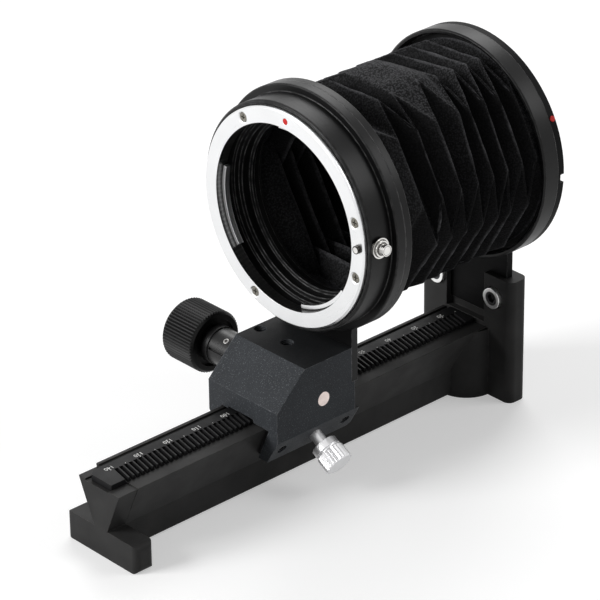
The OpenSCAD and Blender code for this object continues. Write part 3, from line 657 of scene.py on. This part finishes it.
BLACK_PAINT = Finish(
    "satin_black_paint", (0.0265, 0.0262, 0.026), 0.5, specular=0.08,
    edge_colour=(0.12, 0.115, 0.11), edge_gain=2.6, round_mm=0.22, grain_mm=0.5,
    grain_depth_mm=0.012, mottle=0.2,
)
# The carriage paint has painted glints, most on sloping faces, and a top darkened partly by painted
# shade; its pale chamfer edges are painted highlight.
CARRIAGE_PAINT = SparkleFinish(
    "carriage_paint", (0.033, 0.036, 0.04), 0.52, specular=0.08,
    edge_colour=(0.2, 0.205, 0.215), edge_gain=4.5, round_mm=0.4, grain_mm=0.24,
    grain_depth_mm=0.025, mottle=0.1,
)
RACK_BLACK = Finish(
    "black_oxide_rack", (0.007, 0.007, 0.0075), 0.5, specular=0.1,
    edge_colour=(0.09, 0.088, 0.085), edge_gain=3.0, round_mm=0.12, grain_mm=0.4,
    grain_depth_mm=0.006,
)
# The pale edge colour of the anodised finishes is partly wear and partly painted highlight.
ANODISED = TurnedFinish(
    "black_anodised", (0.004, 0.004, 0.0042), 0.35, specular=0.18,
    edge_colour=(0.26, 0.26, 0.26), edge_gain=3.2, round_mm=0.22, grain_mm=0.7,
    grain_depth_mm=0.002, ring_mm=0.3, ring_depth_mm=0.0005,
)
HOUSING_BLACK = replace(ANODISED, name="housing_anodised", round_mm=0.6, edge_gain=1.6)
PLATE_BLACK = replace(ANODISED, name="plate_anodised", roughness=0.5, specular=0.06)
SLEEVE_BLACK = TurnedFinish(
    "sleeve_anodised", (0.006, 0.006, 0.0062), 0.3, specular=0.3,
    edge_colour=(0.06, 0.06, 0.06), edge_gain=1.5, round_mm=0.2, grain_mm=0.6,
    grain_depth_mm=0.004, centre=Drive.SHAFT.value, axis=(1.0, 0.0, 0.0), ring_mm=0.2,
)
# The knob's flutes get painted shade.
KNURLED = KnurlFinish(
    "knurled_black", (0.03, 0.03, 0.0305), 0.4, specular=0.16, edge_colour=(0.07, 0.07, 0.07),
    edge_gain=1.2, round_mm=0.1, grain_mm=0.5, grain_depth_mm=0.004, centre=Drive.SHAFT.value,
    axis=(1.0, 0.0, 0.0), ring_mm=0.25,
)
# The chrome's dark ring is painted groove shade, and its whiter edges are painted highlight.
CHROME = GroovedFinish(
    "satin_chrome", (0.8, 0.805, 0.81), 0.3, metallic=1.0, edge_colour=(0.98, 0.98, 0.98),
    edge_gain=1.0, round_mm=0.18, grain_mm=0.8, grain_depth_mm=0.002, mottle=0.03, ring_mm=0.11,
    ring_depth_mm=0.0022, grooves=((25.8, 0.52),), groove_colour=(0.035, 0.034, 0.033),
)
LOCK_CHROME = TurnedFinish(
    "bright_chrome", (0.8, 0.8, 0.81), 0.34, metallic=1.0, round_mm=0.12, grain_mm=0.9,
    grain_depth_mm=0.002, mottle=0.03, centre=Drive.LOCK.value, axis=(0.866025, 0.0, -0.5),
    ring_mm=0.15, ring_depth_mm=0.0015,
)
# The rear screws get painted shade round their sockets.
REAR_SCREW_STEEL = SocketHeadFinish(
    "rear_screw_steel", (0.86, 0.86, 0.85), 0.32, metallic=1.0, round_mm=0.3, grain_mm=0.7,
    grain_depth_mm=0.003, mottle=0.08, mottle_mm=2.0,
    centres=(Drive.LEFT_SCREW.value, Drive.RIGHT_SCREW.value),
)
SET_SCREW_STEEL = Finish(
    "set_screw_steel", (0.42, 0.41, 0.4), 0.28, metallic=1.0, edge_colour=(0.1, 0.095, 0.09),
    edge_gain=1.6, round_mm=0.12, grain_mm=0.7, grain_depth_mm=0.003, mottle=0.08,
    mottle_mm=2.0,
)
# The dark rings on the release pin and the lock pin are painted groove shade.
RELEASE_STEEL = GroovedFinish(
    "release_steel", (0.72, 0.71, 0.69), 0.2, metallic=1.0, round_mm=0.1, grain_mm=0.7,
    grain_depth_mm=0.002, mottle=0.08, mottle_mm=2.0, centre=Drive.RELEASE.value,
    axis=(0.99863, 0.0, 0.052336), ring_mm=0.2, ring_depth_mm=0.003,
    grooves=((2.86, 0.24), (2.32, 0.3), (1.68, 0.34), (1.22, 0.2)),
    groove_colour=(0.05, 0.048, 0.045),
)
LOCK_PIN_STEEL = GroovedFinish(
    "lock_pin_steel", (0.72, 0.71, 0.69), 0.22, metallic=1.0, round_mm=0.1, grain_mm=0.7,
    grain_depth_mm=0.002, mottle=0.08, mottle_mm=2.0, centre=Drive.PIN.value, ring_mm=0.2,
    grooves=((1.0, 0.42),), groove_colour=(0.045, 0.043, 0.04),
)
DULL_STEEL = Finish(
    "dull_steel", (0.2, 0.19, 0.165), 0.38, metallic=1.0, round_mm=0.08, grain_mm=0.4,
    grain_depth_mm=0.006, mottle=0.25, mottle_mm=1.2,
)
BLACK_STEEL = Finish(
    "blackened_steel", (0.018, 0.018, 0.019), 0.3, metallic=0.3, specular=0.3, round_mm=0.08,
    grain_mm=0.4, grain_depth_mm=0.004, edge_colour=(0.25, 0.25, 0.25), edge_gain=1.5,
)
SPRING_STEEL = Finish(
    "spring_steel", (0.5, 0.5, 0.51), 0.25, metallic=1.0, round_mm=0.05, grain_depth_mm=0.002,
    mottle=0.1,
)
COPPER = TurnedFinish(
    "copper_alloy", (0.76, 0.65, 0.61), 0.34, metallic=1.0, round_mm=0.1, grain_mm=0.5,
    grain_depth_mm=0.004, mottle=0.12, mottle_mm=2.0, centre=Drive.SHAFT.value,
    axis=(1.0, 0.0, 0.0), ring_mm=0.18,
)
BRASS = Finish(
    "brass_strip", (0.72, 0.55, 0.28), 0.3, metallic=1.0, round_mm=0.1, grain_depth_mm=0.004,
    mottle=0.12,
)
ENAMEL = Finish(
    "red_enamel", (0.55, 0.012, 0.009), 0.35, specular=0.25, round_mm=0.05, grain_mm=0.3,
    grain_depth_mm=0.01, mottle=0.15, mottle_mm=0.6,
)
BOARD = Finish(
    "frame_board", (0.006, 0.006, 0.006), 0.7, specular=0.15, round_mm=0.1, grain_mm=0.25,
    grain_depth_mm=0.02,
)
# The bellows' second colour is wear and painted sheen on the pebbles of upward faces.
CLOTH = ClothFinish(
    "bellows_cloth", (0.0018, 0.0018, 0.002), (0.06, 0.06, 0.064), (0.085, 0.085, 0.09),
)
INK = PrintFinish("scale_print", (0.9, 0.9, 0.88), (0.4, 0.4, 0.39))


# ---------- helpers for new pieces ----------


def object_from(shape: bmesh.types.BMesh, name: str, smooth: bool = True) -> bpy.types.Object:
    """Makes an object of a bmesh.

    Args:
        shape: the bmesh, which is freed.
        name: the new object's name.
        smooth: whether its faces are shaded smooth.

    Returns:
        The object, at the origin.
    """
    bmesh.ops.recalc_face_normals(shape, faces=shape.faces)
    mesh = bpy.data.meshes.new(name)
    shape.to_mesh(mesh)
    shape.free()
    if smooth:
        mesh.shade_smooth()
    else:
        mesh.shade_flat()
    made = bpy.data.objects.new(name, mesh)
    bpy.context.scene.collection.objects.link(made)
    return made


def settle(made: bpy.types.Object) -> bpy.types.Object:
    """Applies an object's modifiers to its mesh.

    Args:
        made: the object.

    Returns:
        The same object, without modifiers.
    """
    view = bpy.context.evaluated_depsgraph_get()
    view.update()
    final = bpy.data.meshes.new_from_object(made.evaluated_get(view))
    made.modifiers.clear()
    made.data = final
    return made


def triangles(made: bpy.types.Object) -> int:
    """Returns how many triangles the object's own mesh has."""
    return sum(len(face.vertices) - 2 for face in made.data.polygons)


def dress(made: bpy.types.Object, material: bpy.types.Material) -> None:
    """Gives an object that one material."""
    made.data.materials.clear()
    made.data.materials.append(material)


def waver(x: float, y: float, z: float) -> float:
    """Returns smooth noise from -1 to 1 at a point."""
    return noise.noise(Vector((x, y, z)))


# ---------- bellows ----------


@dataclass
class Bellows:
    """Hexagonal pleated cloth whose sides alternate between ridge and valley at each fold."""

    ridge_r: float = 29.1
    valley_r: float = 22.5
    hem_r: float = 26.2
    rear_hem_r: float = 29.4
    first_fold: float = 86.7
    fold_step: float = 3.014
    folds: int = 15
    front: float = 79.85
    rear: float = 131.85
    columns: int = 10
    cloth_mm: float = 0.42
    popped_r: float = 29.1
    popped_half: float = 20.6
    popped_flat: float = 9.2
    pillow_mm: float = 1.9
    pillow_half: float = 11.5
    popped: tuple[int, ...] = (4, 6)
    top_side: int = 1
    pillow_folds: int = 2
    corner_wander: float = 1.5
    belly_mm: float = 0.12
    belly_wander: float = 0.5
    ridge_bow: float = 0.8
    valley_bow: float = 1.4
    sharp: float = 0.82
    crumple_mm: tuple[float, float] = (0.22, 0.09)
    crumple_scale: tuple[float, float] = (160.0, 520.0)
    held_mm: float = 3.0
    corner_0: tuple[float, ...] = (
        86.7, 90.2, 94.0, 95.3, 100.9, 104.5, 109.0, 111.3,
        112.8, 117.6, 118.6, 122.4, 123.6, 127.4, 129.0,
    )
    corner_5: tuple[float, ...] = (
        86.7, 92.0, 94.0, 97.6, 100.9, 103.0, 107.0, 108.9,
        112.8, 114.5, 118.0, 119.2, 123.6, 125.9, 129.0,
    )

    def side_r(self, fold: int, side: int) -> float:
        """Finds how far out a side stands.

        Args:
            fold: the fold, where -1 and folds are the hems.
            side: the side, from 0 to 5.

        Returns:
            Its distance from the axis in mm.
        """
        if fold < 0 or fold >= self.folds:
            return self.hem_r
        return self.ridge_r if (fold + side) % 2 == 0 else self.valley_r

    def corner_y(self, fold: int, corner: int) -> float:
        """Finds where a corner lies along the rail, unevenly as the cloth has settled.

        Args:
            fold: the fold, where -1 and folds are the hems.
            corner: the corner, from 0 to 5.

        Returns:
            Its y in mm from the rail's front end.
        """
        if fold < 0:
            return self.front
        if fold >= self.folds:
            return self.rear
        uneven = {0: self.corner_0, 5: self.corner_5}.get(corner)
        if uneven:
            return uneven[fold]
        wander = waver(fold * 1.7 + 3.1, corner * 5.3, 0.5) * self.corner_wander
        return self.first_fold + self.fold_step * fold + wander

    def corner(self, fold: int, corner: int) -> Vector:
        """Finds a corner of a fold.

        Args:
            fold: the fold, where -1 and folds are the hems.
            corner: the corner, which lies between the side of that number and the next.

        Returns:
            The corner in mm, with x and z off the axis.
        """
        angle = math.radians(30 + 60 * corner)
        near, far = self.side_r(fold, corner), self.side_r(fold, (corner + 1) % 6)
        along = (far - near * 0.5) / math.sin(math.radians(60))
        return Vector((
            near * math.cos(angle) - along * math.sin(angle),
            self.corner_y(fold, corner),
            near * math.sin(angle) + along * math.cos(angle),
        ))

    def point(self, fold: float, column: int) -> Vector:
        """Finds a point of the cloth.

        Args:
            fold: the fold, where a half lies midway down a pleat.
            column: the column round the cloth, from corner 5 on.

        Returns:
            The point in the row frame.
        """
        low, high = math.floor(fold), math.ceil(fold)
        spot = (self.on_fold(low, column) + self.on_fold(high, column)) / 2
        if low != high:
            side = column // self.columns
            share = column % self.columns / self.columns
            angle = math.radians(30 + 60 * side)
            belly = waver(fold * 0.9, side * 3.7, 2.0) * self.belly_wander + self.belly_mm
            outward = Vector((math.cos(angle), 0, math.sin(angle)))
            spot += outward * belly * math.sin(math.pi * share)
        return row(spot.x, spot.y, AXIS_Z + spot.z)

    def on_fold(self, fold: int, column: int) -> Vector:
        """Finds a point on a fold line.

        Args:
            fold: the fold, where -1 and folds are the hems.
            column: the column round the cloth, from corner 5 on.

        Returns:
            The point in mm, with x and z off the axis.
        """
        side, share = column // self.columns, column % self.columns / self.columns
        if fold >= self.folds:
            turn = math.radians(60 * (side + share))
            hem = self.rear_hem_r
            return Vector((hem * math.cos(turn), self.rear, hem * math.sin(turn)))
        spot = self.corner(fold, (side - 1) % 6).lerp(self.corner(fold, side), share)
        if fold >= 0:
            ridge = self.side_r(fold, side) == self.ridge_r
            most = self.ridge_bow if ridge else self.valley_bow
            spot.y += math.sin(math.pi * share) * waver(fold * 2.3, side * 1.9, 7.0) * most
        if side == self.top_side and fold in self.popped:
            spot.z += self.popped_rise(abs(spot.x))
        if side == self.top_side:
            spot.z += self.pillow_rise(abs(spot.x), abs(fold - sum(self.popped) / 2))
        return spot

    def popped_rise(self, aside: float) -> float:
        """Finds how far a valley of the top side has popped outwards.

        Args:
            aside: the distance from the middle of the side in mm.

        Returns:
            The rise in mm.
        """
        share = min(1.0, (self.popped_half - aside) / (self.popped_half - self.popped_flat))
        share = share * share * (3 - 2 * share)
        return (self.popped_r - self.valley_r) * share

    def pillow_rise(self, aside: float, folds_off: float) -> float:
        """Finds how far the top side swells about the popped valleys.

        Args:
            aside: the distance from the middle of the side in mm.
            folds_off: how many folds lie between here and the middle of the swelling.

        Returns:
            The rise in mm.
        """
        if folds_off >= self.pillow_folds:
            return 0.0
        round_end = math.sqrt(max(0.0, 1.0 - (aside / self.pillow_half) ** 2))
        return self.pillow_mm * round_end * (1.0 - folds_off / (self.pillow_folds + 1))

    def shape(self) -> bmesh.types.BMesh:
        """Makes the cloth's one skin, extruded ring by ring and creased at its folds.

        Returns:
            The skin, open at both ends.
        """
        cloth = bmesh.new()
        column_of = cloth.verts.layers.int.new("column")
        ring_of = cloth.verts.layers.int.new("ring")
        crease = cloth.edges.layers.float.new("crease_edge")
        total = 6 * self.columns
        made = bmesh.ops.create_circle(cloth, segments=total, radius=self.hem_r * MM)
        for index, vert in enumerate(made["verts"]):
            vert[column_of] = index
        edges = list(cloth.edges)
        rings = [-1 + half / 2 for half in range(2 * (self.folds + 1) + 1)]
        for number, fold in enumerate(rings):
            if number:
                grown = bmesh.ops.extrude_edge_only(cloth, edges=edges)["geom"]
                edges = [g for g in grown if isinstance(g, bmesh.types.BMEdge)]
            for vert in {v for edge in edges for v in edge.verts}:
                vert[ring_of] = number
                vert.co = self.point(fold, vert[column_of])
        for edge in cloth.edges:
            first, second = edge.verts
            if first[ring_of] == second[ring_of]:
                sharp = first[ring_of] % 2 == 0
            else:
                sharp = first[column_of] % self.columns == 0
            edge[crease] = self.sharpness(first, second, ring_of, column_of) if sharp else 0.0
        return cloth

    def sharpness(
        self,
        first: bmesh.types.BMVert,
        second: bmesh.types.BMVert,
        ring_of: bmesh.types.BMLayerItem,
        column_of: bmesh.types.BMLayerItem,
    ) -> float:
        """Finds how sharp a creased edge is: soft where the cloth has popped outwards.

        Args:
            first: one end of the edge.
            second: its other end.
            ring_of: the layer of ring numbers.
            column_of: the layer of column numbers.

        Returns:
            The crease, from 0 to 1.
        """
        fold = first[ring_of] // 2 - 1
        share = (first[column_of] + second[column_of]) / 2
        on_top = self.top_side * self.columns + 1 < share < (self.top_side + 1) * self.columns - 1
        swollen = min(self.popped) - 1 < fold < max(self.popped) + 1
        if first[ring_of] == second[ring_of] and on_top and swollen:
            return 0.0
        return self.sharp

    def build(self) -> bpy.types.Object:
        """Makes the cloth.

        Returns:
            The finished cloth.
        """
        cloth = object_from(self.shape(), "bellows_cloth")
        smoother = cloth.modifiers.new("Folds", "SUBSURF")
        smoother.levels = smoother.render_levels = 2
        settle(cloth)
        self.crumple(cloth)
        wall = cloth.modifiers.new("Cloth", "SOLIDIFY")
        wall.thickness = self.cloth_mm * MM
        wall.offset = -1.0
        settle(cloth)
        dress(cloth, CLOTH.build())
        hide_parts("bellows")
        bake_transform(cloth)
        return cloth

    def crumple(self, cloth: bpy.types.Object) -> None:
        """Moves the cloth's points a little, so that no panel is quite flat.

        Args:
            cloth: the cloth, whose hems stay where they are.
        """
        mesh = cloth.data
        normals = [vert.normal.copy() for vert in mesh.vertices]
        front, rear = row(0, self.front, 0).y, row(0, self.rear, 0).y
        for vert, normal in zip(mesh.vertices, normals):
            free = min(1.0, min(vert.co.y - front, rear - vert.co.y) / (self.held_mm * MM))
            push = sum(
                waver(*(vert.co * scale + Vector((9.0 * index, 0.0, 0.0)))) * mm
                for index, (scale, mm) in enumerate(zip(self.crumple_scale, self.crumple_mm))
            )
            vert.co += normal * max(0.0, free) * push * MM


# ---------- scale ----------


@dataclass
class RailScale:
    """Numerals and ticks printed beside the rack."""

    spacing: float = 10.0
    first_y: float = 6.05
    first_value: int = 140
    value_step: int = 10
    count: int = 13
    centre_x: float = -3.3
    top_z: float = 22.3
    digit_mm: float = 1.3
    ink_mm: float = 0.02
    tick_x: float = -2.38
    tick_mm: float = 0.34
    long_tick: float = 1.3
    depth: float = 0.04
    stroke: float = 0.006
    loose: float = 1.08
    merge_mm: float = 0.001

    def numeral(self, value: int) -> bpy.types.Mesh:
        """Makes a numeral.

        Args:
            value: the number.

        Returns:
            Its mesh, centred, of the right height and flat on the ground.
        """
        curve = bpy.data.curves.new(f"numeral_{value}", "FONT")
        curve.body = str(value)
        curve.align_x = "CENTER"
        curve.extrude = self.depth / 2
        curve.offset = self.stroke
        curve.space_character = self.loose
        text = bpy.data.objects.new(f"numeral_{value}", curve)
        bpy.context.scene.collection.objects.link(text)
        view = bpy.context.evaluated_depsgraph_get()
        view.update()
        mesh = bpy.data.meshes.new_from_object(text.evaluated_get(view))
        bpy.data.objects.remove(text)
        across, along = (sorted(v.co[axis] for v in mesh.vertices) for axis in (0, 1))
        size = self.digit_mm * MM / (along[-1] - along[0])
        middle = Vector((across[0] + across[-1], along[0] + along[-1], 0.0)) / 2
        shrink = Matrix.Diagonal((size, size, self.ink_mm * MM / self.depth, 1.0))
        mesh.transform(shrink @ Matrix.Translation(-middle))
        return mesh

    def build(self) -> bpy.types.Object:
        """Makes the numerals and ticks.

        Returns:
            One piece that rides on the rail.
        """
        printed = bmesh.new()
        for index in range(self.count):
            y = self.first_y + self.spacing * index
            mesh = self.numeral(self.first_value - self.value_step * index)
            spot = row(self.centre_x, y, self.top_z + self.ink_mm / 2)
            mesh.transform(Matrix.Translation(spot) @ Matrix.Rotation(math.radians(-90), 4, "Z"))
            printed.from_mesh(mesh)
            bpy.data.meshes.remove(mesh)
            self.tick(printed, y, self.long_tick)
            self.tick(printed, y + self.spacing / 2, 1.0)
        bmesh.ops.remove_doubles(printed, verts=printed.verts, dist=self.merge_mm * MM)
        bmesh.ops.dissolve_degenerate(printed, edges=printed.edges, dist=self.merge_mm * MM)
        made = object_from(printed, "scale_print", smooth=False)
        dress(made, INK.build())
        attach(made, "rail")
        LOG.info("scale_print: %d triangles", triangles(made))
        return made

    def tick(self, printed: bmesh.types.BMesh, y: float, long: float) -> None:
        """Adds a tick.

        Args:
            printed: the print in the making.
            y: where the tick lies, in mm from the rail's front end.
            long: its length in units of tick_mm; its width is half a unit.
        """
        place = Matrix.Translation(row(self.tick_x, y, self.top_z + self.ink_mm / 2))
        size = Vector((self.tick_mm * long, self.tick_mm / 2, self.ink_mm)) * MM
        bmesh.ops.create_cube(printed, size=1.0, matrix=place @ Matrix.Diagonal((*size, 1.0)))


# ---------- release spring ----------


@dataclass
class ReleaseSpring:
    """Coil behind the lock pin, which shortens as the release pin is drawn back."""

    centre_x: float = 28.461
    centre_z: float = 76.492
    front: float = 71.17
    rear: float = 75.38
    end_stop: float = 75.6
    coil_r: float = 0.93
    wire_r: float = 0.15
    wire_sides: int = 10
    turns: int = 5
    steps_a_turn: int = 24
    keep: float = 0.67

    def build(self, steel: bpy.types.Material) -> bpy.types.Object:
        """Winds the coil by spinning its wire's outline.

        Args:
            steel: the coil's material.

        Returns:
            The coil, which rides on the carriage.
        """
        coil = bmesh.new()
        start = row(self.centre_x + self.coil_r, self.front, self.centre_z)
        made = bmesh.ops.create_circle(
            coil,
            cap_ends=True,
            segments=self.wire_sides,
            radius=self.wire_r * MM,
            matrix=Matrix.Translation(start),
        )
        outline = made["verts"] + list(coil.edges) + list(coil.faces)
        steps = self.turns * self.steps_a_turn
        bmesh.ops.spin(
            coil,
            geom=outline,
            cent=row(self.centre_x, self.front, self.centre_z),
            axis=(0.0, 1.0, 0.0),
            dvec=(0.0, (self.rear - self.front) / steps * MM, 0.0),
            angle=2 * math.pi * self.turns,
            steps=steps,
            use_merge=False,
        )
        wound = object_from(coil, "release_coil")
        dress(wound, steel)
        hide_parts("release_spring")
        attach(wound, "carriage")
        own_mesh(wound)
        LOG.info("release_coil: %d triangles", triangles(wound))
        return wound


# ---------- CAD nodes ----------


@dataclass
class MetalWork:
    """The rigid parts, which keep their CAD meshes and get their finishes here."""

    finishes: dict[str, Finish] = field(default_factory=lambda: {
        "rail_casting": BLACK_PAINT,
        "rack_scale": RACK_BLACK,
        "rear_standard": PLATE_BLACK,
        "rear_standard_screws": REAR_SCREW_STEEL,
        "rear_cup": ANODISED,
        "camera_bayonet": ANODISED,
        "camera_bayonet_screws": DULL_STEEL,
        "rear_index_dot": ENAMEL,
        "bellows_rear_frame": BOARD,
        "carriage_block": CARRIAGE_PAINT,
        "gib_strip": BLACK_STEEL,
        "gib_screws": BLACK_STEEL,
        "sleeve_clamp_screws": BLACK_STEEL,
        "pinion_sleeve": SLEEVE_BLACK,
        "sleeve_set_screw": SET_SCREW_STEEL,
        "front_standard": ANODISED,
        "front_standard_screws": BLACK_STEEL,
        "lens_housing": HOUSING_BLACK,
        "lens_bayonet": CHROME,
        "lens_bayonet_screws": DULL_STEEL,
        "bayonet_springs": SPRING_STEEL,
        "front_index_dot": ENAMEL,
        "bellows_front_frame": BOARD,
        "pinion_shaft": COPPER,
        "pinion": BRASS,
        "focus_knob": KNURLED,
        "knob_grub_screw": BLACK_STEEL,
        "lock_thumb_screw": LOCK_CHROME,
        "lock_pin": LOCK_PIN_STEEL,
        "release_pin": RELEASE_STEEL,
    })

    def dress(self, nodes: dict[str, bpy.types.Object]) -> dict[str, bpy.types.Material]:
        """Gives each rigid node its finish.

        Args:
            nodes: the CAD nodes by name.

        Returns:
            The materials by their finishes' names.
        """
        made: dict[str, bpy.types.Material] = {}
        for name, finish in self.finishes.items():
            if finish.name not in made:
                made[finish.name] = finish.build()
            dress(nodes[name], made[finish.name])
            LOG.info("%s: %s", name, finish.name)
        return made


# ---------- studio ----------


@dataclass(frozen=True)
class Lamp:
    """A square area lamp, with its place and aim in metres."""

    name: str
    at: tuple[float, float, float]
    aim: tuple[float, float, float]
    size: float
    watts: float

    def build(self) -> None:
        """Adds the lamp to the scene."""
        data = bpy.data.lights.new(self.name, "AREA")
        data.shape = "SQUARE"
        data.size = self.size
        data.energy = self.watts
        made = bpy.data.objects.new(self.name, data)
        turn = (Vector(self.aim) - Vector(self.at)).to_track_quat("-Z", "Y")
        made.matrix_world = Matrix.Translation(self.at) @ turn.to_matrix().to_4x4()
        bpy.context.scene.collection.objects.link(made)


@dataclass
class Studio:
    """Floor, lamps, world and camera."""

    camera_at: tuple[float, float, float] = (0.617931, -0.626768, 0.490418)
    azimuth: float = 47.60673
    elevation: float = 27.81734
    roll: float = -0.72177
    lens_mm: float = 214.9665
    sensor_mm: float = 36.0
    clip_end: float = 20.0
    floor_half: float = 3.0
    floor_drop: float = 0.00005
    floor_colour: Colour = (0.74, 0.74, 0.74)
    floor_lift: float = 0.38
    world_light: float = 0.22
    world_white: float = 1.0
    lamps: tuple[Lamp, ...] = (
        Lamp("key", (-1.0, -2.15, 1.15), (0.0, -0.06, 0.04), 1.2, 58.0),
        Lamp("back_left", (-1.3, 1.4, 1.9), (0.0, -0.05, 0.06), 1.6, 30.0),
        Lamp("back_right", (1.5, 1.45, 1.6), (0.0, -0.05, 0.06), 1.2, 16.5),
    )

    def camera(self) -> None:
        """Sets the camera where the photograph was taken from."""
        az, el, roll = (math.radians(a) for a in (self.azimuth, self.elevation, self.roll))
        back = Vector((math.sin(az) * math.cos(el), -math.cos(az) * math.cos(el), math.sin(el)))
        right = Vector((math.cos(az), math.sin(az), 0.0))
        up = back.cross(right)
        turned_right = math.cos(roll) * right + math.sin(roll) * up
        turned_up = math.cos(roll) * up - math.sin(roll) * right
        turn = Matrix((turned_right, turned_up, back)).transposed().to_4x4()
        data = bpy.data.cameras.new("Camera")
        data.lens = self.lens_mm
        data.sensor_width = self.sensor_mm
        data.clip_end = self.clip_end
        made = bpy.data.objects.new("Camera", data)
        made.matrix_world = Matrix.Translation(self.camera_at) @ turn
        bpy.context.scene.collection.objects.link(made)
        bpy.context.scene.camera = made

    def floor(self) -> None:
        """Lays a pale floor that stays white but keeps the object's shadow."""
        shape = bmesh.new()
        bmesh.ops.create_grid(shape, x_segments=1, y_segments=1, size=self.floor_half)
        made = object_from(shape, "floor", smooth=False)
        made.data.transform(Matrix.Translation((0.0, 0.0, -self.floor_drop)))
        surface = Surface("floor")
        diffuse = surface.node("BsdfDiffuse", inputs={"Color": (*self.floor_colour, 1.0)})
        lift = surface.node("Emission", inputs={"Strength": surface.shown() * self.floor_lift})
        surface.close("OutputMaterial", surface.node("AddShader", inputs={0: diffuse, 1: lift}))
        made.data.materials.append(surface.material)

    def world(self) -> None:
        """Sets a plain pale world that is white to the camera and in reflections."""
        made = bpy.data.worlds.new("studio")
        made.use_nodes = True
        graph = Graph(made.node_tree)
        strength = graph.shown() * (self.world_white - self.world_light) + self.world_light
        white = (1.0, 1.0, 1.0, 1.0)
        plain = graph.node("Background", inputs={"Color": white, "Strength": strength})
        graph.close("OutputWorld", plain)
        bpy.context.scene.world = made

    def build(self) -> None:
        """Sets up the whole studio."""
        self.camera()
        self.floor()
        self.world()
        for lamp in self.lamps:
            lamp.build()
        bpy.context.scene.view_settings.view_transform = "Standard"


def main() -> None:
    """Builds the pieces and the studio."""
    logging.basicConfig(level=logging.INFO, format="%(name)s: %(message)s")
    metals = MetalWork().dress(frame["nodes"])
    Bellows().build()
    RailScale().build()
    ReleaseSpring().build(metals[SPRING_STEEL.name])
    Studio().build()


if __name__ == "__main__":
    main()
